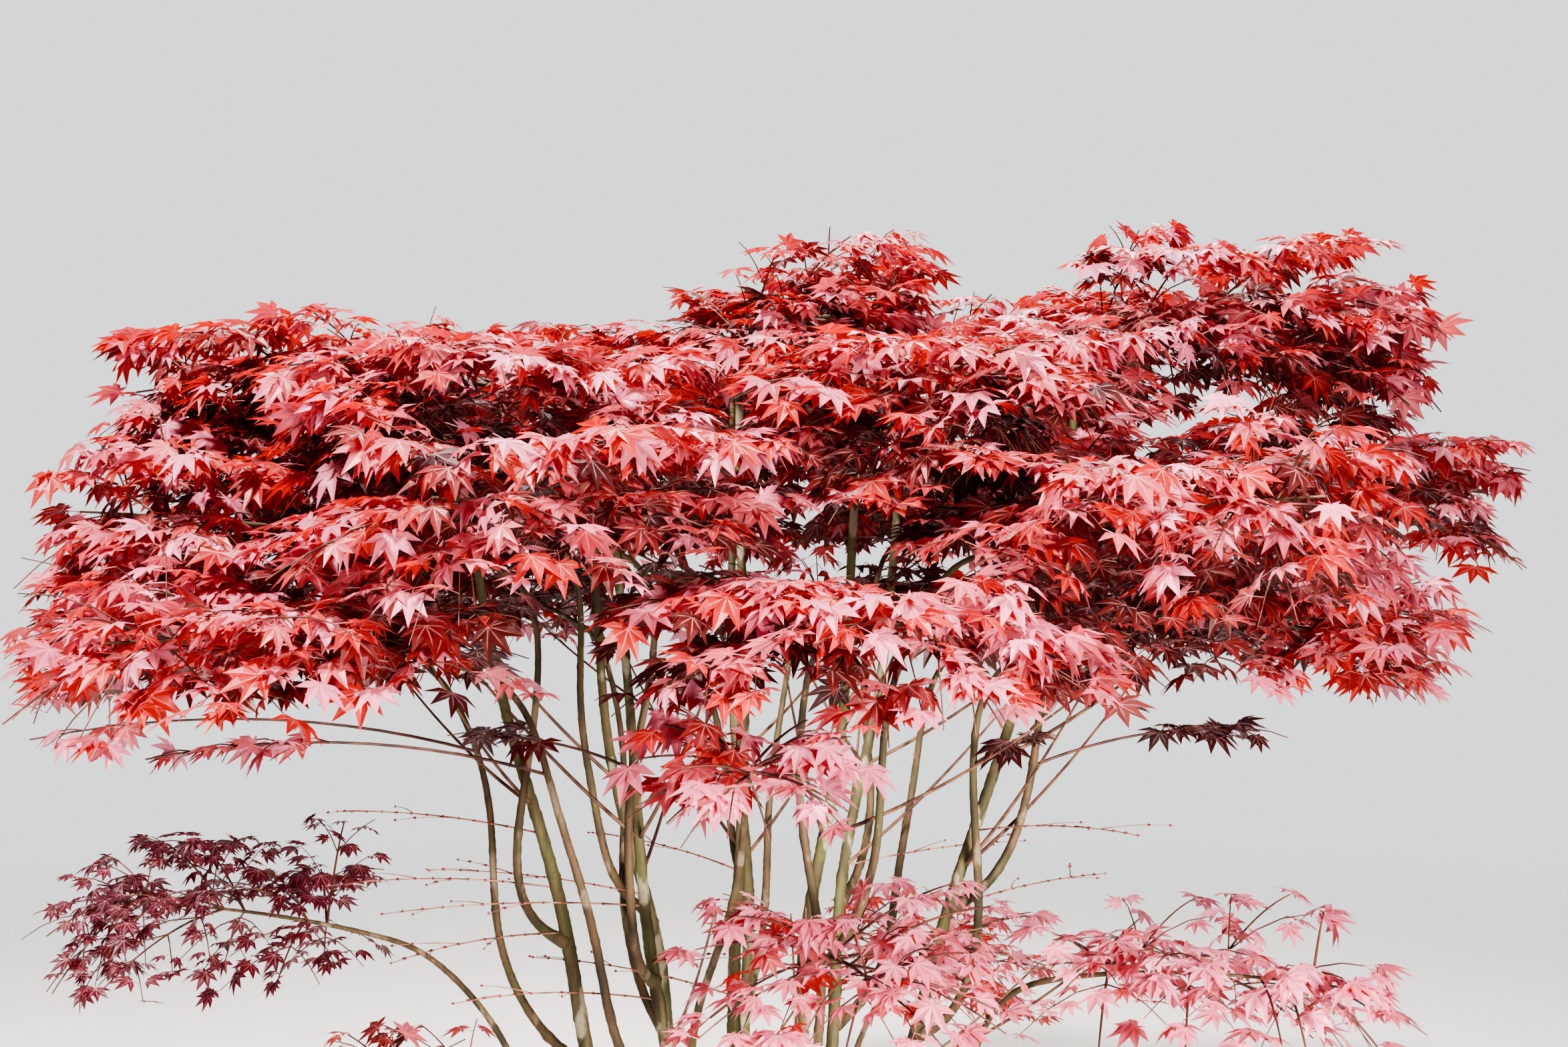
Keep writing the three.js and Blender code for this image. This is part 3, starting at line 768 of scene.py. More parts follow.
def bare_twigs():
    """The bare twigs, and each bud's place and direction."""
    rng = np.random.default_rng(FIRST_SEED)
    twigs, buds = [], []
    for name, place, swing, length, slope in BARE_TWIGS:
        stem = next(limb for limb in LIMBS if limb.name == f"stem_{name}")
        heading = unit(turned(stem.mass.outward, swing) + UP * slope)
        main = bare_twig(stem.curve.points(place), heading, length, rng)
        own = [(main, length, 1.0)]
        for k, side_place in enumerate(BARE_TWIG["side_places"]):
            node = main[round(side_place * (len(main) - 1))]
            swing_here = BARE_TWIG["side_swing"] * (-1) ** k * rng.uniform(*BARE_TWIG["swing_vary"])
            size = length * BARE_TWIG["side_length"] * rng.uniform(*BARE_TWIG["length_vary"])
            side_twig = bare_twig(node, turned(heading, swing_here), size, rng)
            own.append((side_twig, size, BARE_TWIG["side_thickness"]))
        for points, size, share in own:
            twigs.append((points, np.linspace(*BARE_TWIG["radius"], len(points)) * share))
            along = unit(points[-1] - points[0])
            buds.append((points[-1], along))
            count = int(size / BARE_TWIG["bud_spacing"])
            for k in range(2, count):
                node = points[round(k / count * (len(points) - 1))]
                buds += [(node, turned(along, hand * BARE_TWIG["bud_lean"])) for hand in (-1, 1)]
    return twigs, buds


# Meshes


def plain_mesh(name, vertices, faces, smooth=False):
    """A new mesh of vertices and faces, shaded flat or smooth."""
    mesh = bpy.data.meshes.new(name)
    mesh.from_pydata([tuple(v) for v in vertices], [], [tuple(f) for f in faces])
    mesh.polygons.foreach_set("use_smooth", [smooth] * len(mesh.polygons))
    mesh.update()
    return mesh


def added(name, mesh, material=None):
    """A new object at the origin, in place of an older one of its name."""
    old = bpy.data.objects.get(name)
    if old is not None:
        bpy.data.objects.remove(old)
    piece = bpy.data.objects.new(name, mesh)
    bpy.context.scene.collection.objects.link(piece)
    if material is not None:
        mesh.materials.clear()
        mesh.materials.append(material)
    return piece


def finished(piece, nodes=()):
    """Says what a piece rides on and the nodes that it stands for."""
    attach(piece, BODY)
    if nodes:
        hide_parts(*sorted(nodes))


def closed_tube(rings):
    """Vertices and faces of a closed skin over rings of points, each an array of as many points."""
    count, sides = len(rings), len(rings[0])
    vertices = list(np.concatenate(rings)) + [rings[0].mean(axis=0), rings[-1].mean(axis=0)]
    faces = []
    for i in range(count - 1):
        for k in range(sides):
            a, b = i * sides + k, i * sides + (k + 1) % sides
            faces.append((a, b, b + sides, a + sides))
    foot, tip, last = count * sides, count * sides + 1, (count - 1) * sides
    for k in range(sides):
        after = (k + 1) % sides
        faces.append((foot, after, k))
        faces.append((tip, last + k, last + after))
    return vertices, faces


def joined(parts):
    """The vertices and faces of several parts as one."""
    vertices, faces = [], []
    for own_vertices, own_faces in parts:
        start = len(vertices)
        vertices += own_vertices
        faces += [tuple(start + v for v in face) for face in own_faces]
    return vertices, faces


# Bark: ring scars at the old leaf nodes with a pair of knobs at each, flutes, each given by its number
# round the limb, its share of the depth and its twist, and a fine grain of waves. A collar at the foot
# of a limb spreads onto its parent, or for a stem onto the root crown, and fades over some foot radii
BARK = {
    "ring_step": 0.007,
    "curve_spare": 1.03,
    "node_step": (0.07, 0.13),
    "scar": 0.11,
    "scar_width": 0.005,
    "knob": 0.3,
    "knob_width": 0.007,
    "knob_spread": 0.45,
    "flute": 0.05,
    "flutes": [(2, 1.0, 4), (3, 0.6, -7)],
    "grain": 0.022,
    "grain_waves": 6,
    "grain_turns": (1, 6),
    "grain_rate": (90, 420),
    "collar": 0.6,
    "collar_fade": 2.4,
    "crown_cover": 0.09,
}

# The root crown's skin: fine ridges all round, each with more of them than the last, and wrinkles, each
# given by its number round the crown, its depth and its rate upwards
ROOT_SKIN = {
    "levels": 64,
    "sides": 120,
    "ridges": 8,
    "ridge": 0.012,
    "first_ridges": 6,
    "more_ridges": 3,
    "ridge_rate": 18,
    "wrinkles": [(2, 0.014, 90), (5, 0.01, -170)],
}


def bark_rings(points, radii, sides, collar_at, rng):
    """Rings of points round a limb's centre line, with the relief of its bark."""
    steps = np.linalg.norm(np.diff(points, axis=0), axis=1)
    along = np.concatenate([[0], np.cumsum(steps)])
    angles = np.linspace(0, 2 * np.pi, sides, endpoint=False)
    swell = np.zeros((len(points), sides))
    for count, share, twist in BARK["flutes"]:
        wave = np.cos(count * angles[None, :] + rng.uniform(*PHASES) + twist * along[:, None])
        swell += share * BARK["flute"] * wave
    for _ in range(BARK["grain_waves"]):
        turns, rate = rng.integers(*BARK["grain_turns"]), rng.uniform(*BARK["grain_rate"])
        wave = np.sin(turns * angles[None, :] + rate * along[:, None] + rng.uniform(*PHASES))
        swell += BARK["grain"] * wave
    place, turn = rng.uniform(*BARK["node_step"]), rng.uniform(0, np.pi)
    while place < along[-1]:
        scar = np.exp(-(((along - place) / BARK["scar_width"]) ** 2))
        swell += BARK["scar"] * scar[:, None]
        knob = np.exp(-(((along - place - BARK["knob_width"]) / BARK["knob_width"]) ** 2))
        for side in (turn, turn + np.pi):
            apart = np.angle(np.exp(1j * (angles - side)))
            round_it = np.exp(-((apart / BARK["knob_spread"]) ** 2))
            swell += BARK["knob"] * rng.random() * knob[:, None] * round_it
        place += rng.uniform(*BARK["node_step"])
        turn += np.pi / 2
    fade = BARK["collar_fade"] * radii[0]
    swell += BARK["collar"] * np.exp(-np.maximum(0, along - collar_at) / fade)[:, None]
    tangents = unit(np.gradient(points, axis=0))
    normal = unit(np.cross(tangents[0], SLANT))
    rings = []
    for centre, tangent, radius, own in zip(points, tangents, radii, swell):
        normal = unit(normal - tangent * (normal @ tangent))
        side = np.cross(tangent, normal)
        circle = np.cos(angles)[:, None] * normal + np.sin(angles)[:, None] * side
        rings.append(centre + circle * (radius * (1 + own))[:, None])
    return rings


def limb_part(limb, index, sides):
    """A limb's bark, carried on through the stem of its mass."""
    length = np.linalg.norm(limb.mass.entry - limb.curve.points(0.0)) * BARK["curve_spare"]
    places = np.linspace(0, 1, int(length / BARK["ring_step"]))
    stem = mass_stem(limb.mass, index)
    reach = np.linalg.norm(stem[2] - stem[0])
    stem_places = np.linspace(0, 1, int(reach / BARK["ring_step"]))[1:]
    points = np.concatenate([limb.curve.points(places), bezier(stem, stem_places)])
    stem_radii = limb.tip_radius + (MASS_STEM["tip_radius"] - limb.tip_radius) * stem_places
    radii = np.concatenate([limb.radius(places), stem_radii])
    collar_at = limb.parent.radius(0.5) if limb.parent else BARK["crown_cover"]
    return closed_tube(bark_rings(points, radii, sides, collar_at, np.random.default_rng(index)))


def root_crown_part():
    """The root crown: a flare in buttresses, a waist and a domed top, with the relief of its bark."""
    rng = np.random.default_rng(FIRST_SEED)
    angles = np.linspace(0, 2 * np.pi, ROOT_SKIN["sides"], endpoint=False)
    rings = []
    phases = rng.uniform(*PHASES, ROOT_SKIN["ridges"])
    for share in np.linspace(0, 1, ROOT_SKIN["levels"]):
        height = share * CROWN["height"]
        flare = max(0.0, 1 - height / CROWN["flare_height"]) ** 2
        rise = max(0.0, height - CROWN["shoulder_height"]) / (CROWN["height"] - CROWN["shoulder_height"])
        plain = CROWN["waist_radius"] + (CROWN["ground_radius"] - CROWN["waist_radius"]) * flare
        dome = math.sqrt(1 - CROWN["dome_depth"] * rise * rise)
        deep = CROWN["buttress_depth"] * (CROWN["buttress_top"] + (1 - CROWN["buttress_top"]) * flare)
        swell = 1 + deep * np.cos(CROWN["buttresses"] * angles + CROWN["buttress_turn"])
        for k, phase in enumerate(phases):
            count = ROOT_SKIN["first_ridges"] + ROOT_SKIN["more_ridges"] * k
            slope = ROOT_SKIN["ridge_rate"] * height * (k % 3)
            swell += ROOT_SKIN["ridge"] * np.sin(count * angles + phase + slope)
        swell += sum(
            depth * np.sin(count * angles + rate * height)
            for count, depth, rate in ROOT_SKIN["wrinkles"]
        )
        radius = plain * dome * swell
        x = radius * np.cos(angles) - CROWN["lean"] * share
        rings.append(np.stack([x, radius * np.sin(angles), np.full(len(angles), height)], axis=1))
    return closed_tube(rings)


def leaf_stalk(first):
    """Points and faces of a leaf's three-sided stalk, with its points numbered from the first one."""
    points, faces = [], []
    for place in (0, LEAF["petiole"]):
        for turn in (90, 210, 330):
            x, z = math.cos(math.radians(turn)), math.sin(math.radians(turn))
            points.append((LEAF["petiole_radius"] * x, place, LEAF["petiole_radius"] * z))
    for k in range(3):
        a, b = first + k, first + (k + 1) % 3
        faces += [(a, b + 3, b), (a, a + 3, b + 3)]
    return points, faces


def leaf_form(number):
    """One form of leaf: five long lobes folded up along their midribs, two small ones, and a stalk."""
    rng = np.random.default_rng(LEAF["first_seed"] + number)
    droop = rng.uniform(*LEAF["droop"])
    fold = LEAF["fold"] * rng.uniform(*LEAF["fold_vary"])
    tilt = math.radians(rng.uniform(*LEAF["tilt"]))
    points, vein, faces = [], [], []

    def put(angle, reach, aside, lift, shade):
        """Adds a point of the blade, by its angle, its reach from the stalk and its place aside."""
        turn = math.radians(angle)
        x = reach * math.sin(turn) + aside * math.cos(turn)
        y = reach * math.cos(turn) - aside * math.sin(turn)
        points.append((x, y, lift - droop * (x * x + y * y)))
        vein.append(shade)
        return len(points) - 1

    centre = put(0, 0, 0, 0, 1)
    lobes = []
    for angle, length, half in LOBES:
        angle += rng.uniform(*LEAF["angle_vary"])
        length *= rng.uniform(*LEAF["length_vary"])
        lobes.append((angle, length, half * rng.uniform(*LEAF["width_vary"])))
    edges = [-LEAF["basal_angle"]] + [lobe[0] for lobe in lobes] + [LEAF["basal_angle"]]
    notches = []
    for k in range(len(edges) - 1):
        reach = LEAF["basal_notch"] if k in (0, len(edges) - 2) else LEAF["notch"]
        lift = LEAF["notch_lift"] * fold
        notches.append(put((edges[k] + edges[k + 1]) / 2, reach, 0, lift, 0))
    for k, (angle, length, half) in enumerate(lobes):
        rib = put(angle, LEAF["widest"] * length, 0, 0, 1)
        tip = put(angle + rng.uniform(*LEAF["tip_vary"]), length, 0, 0, VEIN_ENDS["lobe"])
        for hand, notch in ((-1, notches[k]), (1, notches[k + 1])):
            reach = LEAF["widest"] * length * rng.uniform(*LEAF["widest_vary"])
            wide = put(angle, reach, hand * half, fold * half, 0)
            own = [(centre, wide, notch), (centre, rib, wide), (rib, tip, wide)]
            faces += own if hand < 0 else [face[::-1] for face in own]
    for hand, notch in ((-1, notches[0]), (1, notches[-1])):
        tip = put(hand * LEAF["basal_angle"], LEAF["basal_length"], 0, 0, VEIN_ENDS["small_lobe"])
        back = put(hand * LEAF["back_angle"], LEAF["back_reach"], 0, 0, 0)
        own = [(centre, tip, back), (centre, notch, tip)]
        faces += own if hand < 0 else [face[::-1] for face in own]
    blade = np.array(points)
    y, z = blade[:, 1].copy(), blade[:, 2].copy()
    blade[:, 1] = y * math.cos(tilt) + z * math.sin(tilt) + LEAF["petiole"]
    blade[:, 2] = z * math.cos(tilt) - y * math.sin(tilt)
    stalk, stalk_faces = leaf_stalk(len(blade))
    vein += [1] * len(stalk)
    mesh = plain_mesh(f"leaf_form_{number}", list(blade) + stalk, faces + stalk_faces)
    mesh.attributes.new("vein", "FLOAT", "POINT").data.foreach_set("value", vein)
    return mesh


def bud_form():
    """A pointed bud along +Y, of unit length."""
    half = BARE_TWIG["bud_width"]
    ring = [(half * x, BARE_TWIG["bud_belly"], half * z) for x, z in ((1, 0), (0, 1), (-1, 0), (0, -1))]
    faces = []
    for k in range(4):
        after = (k + 1) % 4
        faces += [(4, k, after), (5, after, k)]
    return plain_mesh("bud_form", [*ring, (0, 0, 0), (0, 1, 0)], faces, smooth=True)


# Node trees


class Wire:
    """A socket of a node tree, on which Python's operators add Math nodes."""

    def __init__(self, tree, socket=None):
        self.tree = tree
        self.socket = socket

    def add(self, kind, settings=None, values=None, output=0):
        """A new node: its settings first, then the values or links of its sockets."""
        node = self.tree.nodes.new(kind)
        for name, value in (settings or {}).items():
            setattr(node, name, value)
        for name, value in (values or {}).items():
            if isinstance(value, Wire):
                self.tree.links.new(value.socket, node.inputs[name])
            else:
                node.inputs[name].default_value = value
        return Wire(self.tree, node.outputs[output] if node.outputs else None)

    def maths(self, operation, first, second=0.0, clamp=False):
        settings = {"operation": operation, "use_clamp": clamp}
        return self.add("ShaderNodeMath", settings, {0: first, 1: second})

    def __add__(self, other):
        return self.maths("ADD", self, other)

    def __sub__(self, other):
        return self.maths("SUBTRACT", self, other)

    def __rsub__(self, other):
        return self.maths("SUBTRACT", other, self)

    def __mul__(self, other):
        return self.maths("MULTIPLY", self, other)

    __radd__ = __add__
    __rmul__ = __mul__

    def clamped(self):
        """Kept between 0 and 1."""
        return self.maths("ADD", self, 0.0, clamp=True)

    def between(self, low, high):
        """0 below low and 1 above high, with a smooth step between them."""
        values = {"Value": self, "From Min": low, "From Max": high}
        return self.add("ShaderNodeMapRange", {"interpolation_type": "SMOOTHSTEP"}, values)

    def tint(self, first, second):
        """A colour from first to second by this factor. Sockets 6, 7 and 2 are those for colours."""
        first, second = (c if isinstance(c, Wire) else (*c, 1) for c in (first, second))
        values = {0: self, 6: first, 7: second}
        return self.add("ShaderNodeMix", {"data_type": "RGBA"}, values, output=2)


def node_group(name, inputs):
    """A Geometry Nodes tree with named inputs, and the wires of its inputs by name."""
    tree = bpy.data.node_groups.new(name, "GeometryNodeTree")
    for label, kind in {"Geometry": "NodeSocketGeometry", **inputs}.items():
        tree.interface.new_socket(label, in_out="INPUT", socket_type=kind)
    tree.interface.new_socket("Geometry", in_out="OUTPUT", socket_type="NodeSocketGeometry")
    entry = tree.nodes.new("NodeGroupInput")
    return tree, Wire(tree), {socket.name: Wire(tree, socket) for socket in entry.outputs if socket.name}


def end_group(wire, geometry, material):
    """Realizes the instances, sets the material and ends the tree."""
    real = wire.add("GeometryNodeRealizeInstances", None, {"Geometry": geometry})
    painted = wire.add("GeometryNodeSetMaterial", None, {"Geometry": real, "Material": material})
    wire.add("NodeGroupOutput", None, {"Geometry": painted})


def attribute(wire, name, kind="FLOAT"):
    """A value that the points carry."""
    return wire.add("GeometryNodeInputNamedAttribute", {"data_type": kind}, {"Name": name})


def twig_tree():
    """Round twigs along chains of edges."""
    inputs = {"Sides": "NodeSocketInt", "Thickness": "NodeSocketFloat", "Material": "NodeSocketMaterial"}
    tree, wire, given = node_group("Twigs", inputs)
    curve = wire.add("GeometryNodeMeshToCurve", None, {"Mesh": given["Geometry"]})
    circle = {"Resolution": given["Sides"], "Radius": 1.0}
    section = wire.add("GeometryNodeCurvePrimitiveCircle", None, circle)
    radius = attribute(wire, "thick") * given["Thickness"]
    values = {"Curve": curve, "Profile Curve": section, "Scale": radius, "Fill Caps": True}
    skin = wire.add("GeometryNodeCurveToMesh", None, values)
    end_group(wire, wire.add("GeometryNodeSetShadeSmooth", None, {"Geometry": skin}), given["Material"])
    return tree


def scatter_tree():
    """One of several forms at each point, turned and scaled by the point's own values."""
    inputs = {"Forms": "NodeSocketCollection", "Size": "NodeSocketFloat", "Material": "NodeSocketMaterial"}
    tree, wire, given = node_group("Scatter", inputs)
    info = {"Collection": given["Forms"], "Separate Children": True, "Reset Children": True}
    forms = wire.add("GeometryNodeCollectionInfo", None, info)
    turn = {"Euler": attribute(wire, "turn", "FLOAT_VECTOR")}
    values = {
        "Points": given["Geometry"],
        "Instance": forms,
        "Pick Instance": True,
        "Instance Index": attribute(wire, "form", "INT"),
        "Rotation": wire.add("FunctionNodeEulerToRotation", None, turn),
        "Scale": attribute(wire, "grown") * given["Size"],
    }
    end_group(wire, wire.add("GeometryNodeInstanceOnPoints", None, values), given["Material"])
    return tree


def realised(source, tree, values):
    """Gives a source object the plain mesh that a tree makes of it."""
    modifier = source.modifiers.new("Growth", "NODES")
    modifier.node_group = tree
    for item in tree.interface.items_tree:
        if item.in_out == "INPUT" and item.name in values:
            modifier[item.identifier] = values[item.name]
    source.update_tag()
    depsgraph = bpy.context.evaluated_depsgraph_get()
    mesh = bpy.data.meshes.new_from_object(source.evaluated_get(depsgraph))
    source.modifiers.remove(modifier)
    source.data = mesh
    return source


def forms_collection(name, meshes):
    """A collection with one object for each form, for the time that it is scattered."""
    forms = bpy.data.collections.new(name)
    bpy.context.scene.collection.children.link(forms)
    for mesh in meshes:
        forms.objects.link(bpy.data.objects.new(mesh.name, mesh))
    return forms


def remove_forms(forms):
    for form in list(forms.objects):
        bpy.data.objects.remove(form)
    bpy.data.collections.remove(forms)


# Materials

# Patterns over the surfaces: scale, detail and, where one is drawn out along the limbs, its stretch
PATTERNS = {
    "leaf_blotch": (38.0, 3.0),
    "leaf_grain": (420.0, 2.0),
    "bark_streak": (46.0, 4.0, (1, 1, 0.16)),
    "bark_cloud": (9.0, 3.0),
    "bark_speck": (260.0, 2.0, (1, 1, 0.5)),
    "bark_patch": (24.0, 5.0, (1, 1, 0.45)),
    "twig_cloud": (30.0, 3.0),
    "twig_grain": (500.0, 2.0),
    "floor_grain": (3.0, 4.0),
}

# The bloom of a leaf's top, and how rough and how clear its gloss is
LEAF_GLOSS = {"Specular IOR Level": 0.7, "Sheen Roughness": 0.4, "Sheen Tint": (0.96, 0.76, 0.9, 1)}

# Plain colour, patches and green tinge of the young bark on the boughs
YOUNG_BARK = [(0.125, 0.072, 0.038), (0.24, 0.18, 0.12), (0.09, 0.084, 0.034)]

# Darker and lighter colour of the bare twigs and of their buds, and lighter colour of the thin branches
BARE_BARK = [(0.16, 0.06, 0.045), (0.42, 0.2, 0.15)]
BUD_SCALES = [(0.14, 0.02, 0.02), (0.36, 0.07, 0.06)]
BRANCH_LIGHT = (0.2, 0.105, 0.06)

# What the stems' dark streaks are multiplied by for the boughs, the twigs' dark colour for the thin
# branches, and the floor's colour for its shade
SHADES = {"bough": 0.8, "branch": 1.3, "floor": 0.94}

# Distances from the plant between which the floor fades into the backdrop
FLOOR_FADE = (2.2, 7.0)


def scaled(colour, factor):
    """A colour made darker or lighter."""
    return tuple(factor * part for part in colour)


def new_material(name):
    """A new material in place of an older one of its name, with the place on the piece."""
    old = bpy.data.materials.get(name)
    if old is not None:
        bpy.data.materials.remove(old)
    material = bpy.data.materials.new(name)
    material.use_nodes = True
    material.node_tree.nodes.clear()
    wire = Wire(material.node_tree)
    return material, wire, wire.add("ShaderNodeTexCoord", output="Object")


def surface(wire, shader):
    """Ends a material with its shader."""
    wire.add("ShaderNodeOutputMaterial", None, {"Surface": shader})


def noise(place, pattern):
    """A pattern of noise from 0 to 1 over the piece."""
    scale, detail, *stretch = PATTERNS[pattern]
    if stretch:
        place = place.add("ShaderNodeMapping", None, {"Vector": place, "Scale": stretch[0]})
    return place.add("ShaderNodeTexNoise", None, {"Vector": place, "Scale": scale, "Detail": detail})


def bumped(height, strength, depth):
    """The normal of a surface with a fine relief."""
    values = {"Height": height, "Strength": strength, "Distance": depth}
    return height.add("ShaderNodeBump", None, values)


def leaf_material(name, deep, bright, glow, leaves):
    """Thin leaf: a glossy top with pale midribs, and coloured light that comes through."""
    material, wire, place = new_material(name)
    tone = wire.add("ShaderNodeAttribute", {"attribute_name": "tone"}, output="Fac")
    vein = wire.add("ShaderNodeAttribute", {"attribute_name": "vein"}, output="Fac")
    blotch = noise(place, "leaf_blotch")
    flesh = (tone * 0.65 + blotch * 0.5 - 0.08).clamped().tint(deep, bright)
    colour = (vein.between(0.84, 0.97) * leaves.vein_strength).tint(flesh, leaves.vein_colour)
    fine = noise(place, "leaf_grain")
    values = {
        "Base Color": colour,
        "Roughness": fine * 0.18 + leaves.roughness,
        "Sheen Weight": leaves.bloom,
        "Normal": bumped(fine, strength=0.25, depth=0.0006),
        **LEAF_GLOSS,
    }
    shine = wire.add("ShaderNodeBsdfPrincipled", None, values)
    through = wire.add("ShaderNodeBsdfTranslucent", None, {"Color": (*glow, 1)})
    surface(wire, wire.add("ShaderNodeMixShader", None, {0: leaves.translucence, 1: shine, 2: through}))
    return material


def bark_material(name, dark, light, patch, moss):
    """Smooth bark: streaks along the limb, pale patches, darker scars and a tinge of green."""
    material, wire, place = new_material(name)
    streak = noise(place, "bark_streak")
    cloud = noise(place, "bark_cloud")
    speck = noise(place, "bark_speck")
    plain = streak.between(0.3, 0.7).tint(dark, light)
    green = (cloud.between(0.46, 0.66) * 0.6).tint(plain, moss)
    patches = noise(place, "bark_patch").between(0.56, 0.64) * 0.75
    pale = patches.tint(green, patch)
    colour = (speck.between(0.58, 0.72) * 0.5).tint(pale, dark)
    height = streak * 0.6 + speck * 0.3 + patches * 0.25
    values = {
        "Base Color": colour,
        "Roughness": 0.88 - streak * 0.25,
        "Normal": bumped(height, strength=0.55, depth=0.0016),
    }
    surface(wire, wire.add("ShaderNodeBsdfPrincipled", None, values))
    return material


def twig_material(name, dark, light):
    """Thin smooth bark in two clouded tones."""
    material, wire, place = new_material(name)
    cloud = noise(place, "twig_cloud")
    fine = noise(place, "twig_grain")
    colour = (cloud.between(0.32, 0.68) + fine * 0.3 - 0.15).clamped().tint(dark, light)
    values = {
        "Base Color": colour,
        "Roughness": 0.42 + fine * 0.25,
        "Normal": bumped(fine, strength=0.3, depth=0.0004),
    }
    surface(wire, wire.add("ShaderNodeBsdfPrincipled", None, values))
    return material


def floor_material(colour):
    """A pale floor that fades into the backdrop far from the plant."""
    material, wire, place = new_material("pale_floor")
    grain = noise(place, "floor_grain")
    shade = scaled(colour, SHADES["floor"])
    values = {"Base Color": grain.tint(shade, tuple(colour)), "Roughness": 0.9}
    shader = wire.add("ShaderNodeBsdfPrincipled", None, values)
    clear = wire.add("ShaderNodeBsdfTransparent")
    away = wire.add("ShaderNodeVectorMath", {"operation": "LENGTH"}, {0: place}, output="Value")
    fading = {0: away.between(*FLOOR_FADE), 1: shader, 2: clear}
    surface(wire, wire.add("ShaderNodeMixShader", None, fading))
    return material


# Pieces of twigs and of scattered forms


def twig_piece(name, twigs, sides, thickness, material, nodes=()):
    """One piece of many twigs, each given by its points and its radii."""
    edges, start = [], 0
    for own, _ in twigs:
        edges += [(start + k, start + k + 1) for k in range(len(own) - 1)]
        start += len(own)
    mesh = bpy.data.meshes.new(name)
    mesh.from_pydata(np.concatenate([points for points, _ in twigs]).tolist(), edges, [])
    radii = np.concatenate([radii for _, radii in twigs])
    mesh.attributes.new("thick", "FLOAT", "POINT").data.foreach_set("value", radii)
    values = {"Sides": sides, "Thickness": thickness, "Material": material}
    finished(realised(added(name, mesh), twig_tree(), values), nodes)


# Kind of each value of a point at which a form is put, and the field that holds it
POINT_VALUES = {
    "turn": ("FLOAT_VECTOR", "vector"),
    "grown": ("FLOAT", "value"),
    "form": ("INT", "value"),
    "tone": ("FLOAT", "value"),
}


def scattered(name, places, point_values, forms, tree, material):
    """One mesh of many small forms, one at each place."""
    mesh = bpy.data.meshes.new(name)
    mesh.from_pydata(np.array(places).tolist(), [], [])
    for label, data in point_values.items():
        kind, field = POINT_VALUES[label]
        mesh.attributes.new(label, kind, "POINT").data.foreach_set(field, np.ravel(data))
    return realised(added(name, mesh), tree, {"Forms": forms, "Size": 1.0, "Material": material})


# Leaves

# Tints of the leaves, from the open sprays to the shaded ones, are painted light and shade. They are dealt
# out by how open each leaf is, with luck mixed in. The paler tints of the open leaves are the leaves' red
# with painted light. The darker tints of the hidden ones, with the darker light through them, are painted
# shade.
# Each has the share of the leaves that has it, its deep and its bright base colour, and the colour of the
# light that comes through it
LIGHT_AND_SHADE_TINTS = [
    ("rose", 0.2, (0.46, 0.1, 0.16), (0.74, 0.31, 0.43), (0.66, 0.07, 0.06)),
    ("coral", 0.17, (0.36, 0.055, 0.075), (0.58, 0.15, 0.19), (0.7, 0.05, 0.03)),
    ("scarlet", 0.2, (0.3, 0.02, 0.018), (0.44, 0.045, 0.042), (0.8, 0.035, 0.014)),
    ("crimson", 0.18, (0.13, 0.014, 0.015), (0.25, 0.034, 0.036), (0.44, 0.025, 0.014)),
    ("garnet", 0.14, (0.065, 0.009, 0.008), (0.13, 0.021, 0.02), (0.24, 0.016, 0.01)),
    ("maroon", 0.11, (0.034, 0.006, 0.006), (0.07, 0.012, 0.013), (0.12, 0.009, 0.008)),
]

# The tint of the shaded low spray, the leaves' red darkened to plum as painted shade
PAINTED_SHADE_PLUM = ("plum", 0, (0.05, 0.009, 0.02), (0.13, 0.018, 0.032), (0.26, 0.008, 0.014))

# How much more open than they are the low and hanging sprays look, or how much less. This shifts their
# tints towards painted light, or towards painted shade
PAINTED_LIGHT_SHIFTS = {
    "foliage_low_front": 0.3,
    "foliage_low_centre": 0.36,
    "foliage_low_right": 0.46,
    "foliage_low_front_left": -0.3,
    "hanging_left": 0.2,
    "hanging_right": -0.75,
    "hanging_middle_right": -0.7,
    "hanging_middle_left": -0.6,
}

# A leaf is open where few leaves lie above it and outside it. They are counted along a slanting ray,
# step by step through a grid of cells, and the count that hides half of the sky is half_hidden. The
# luck of its spray and its own chance are added to that when the tints are dealt out, so that the open
# leaves get tints with painted light and the hidden ones get tints with painted shade. Of the leaves that
# are less open than drop_below, the plant has dropped the more the less open they are
OPENNESS = {
    "cell": 0.05,
    "steps": 12,
    "low_steps": 3,
    "rise": 0.8,
    "out": 0.6,
    "half_hidden": 9.0,
    "spray": 0.3,
    "leaf": 0.36,
    "drop_below": 0.95,
}


def openness(places, low_spray):
    """How open each leaf is to the sky, from 0 to 1. In low sprays only the leaves near it count."""
    cell = OPENNESS["cell"]
    low = places.min(axis=0) - cell
    counts = np.zeros(np.ceil((np.ptp(places, axis=0)) / cell).astype(int) + 2 * OPENNESS["steps"])
    np.add.at(counts, tuple(((places - low) / cell).astype(int).T), 1)
    out = places * (1, 1, 0)
    ray = unit(OPENNESS["out"] * unit(out + NUDGE) + OPENNESS["rise"] * UP)
    hidden = np.zeros(len(places))
    for step in range(1, OPENNESS["steps"] + 1):
        cells = ((places + ray * cell * step - low) / cell).astype(int)
        found = counts[tuple(np.clip(cells, 0, np.array(counts.shape) - 1).T)]
        hidden += np.where(low_spray & (step > OPENNESS["low_steps"]), 0, found)
    return 0.5 ** (hidden / OPENNESS["half_hidden"])


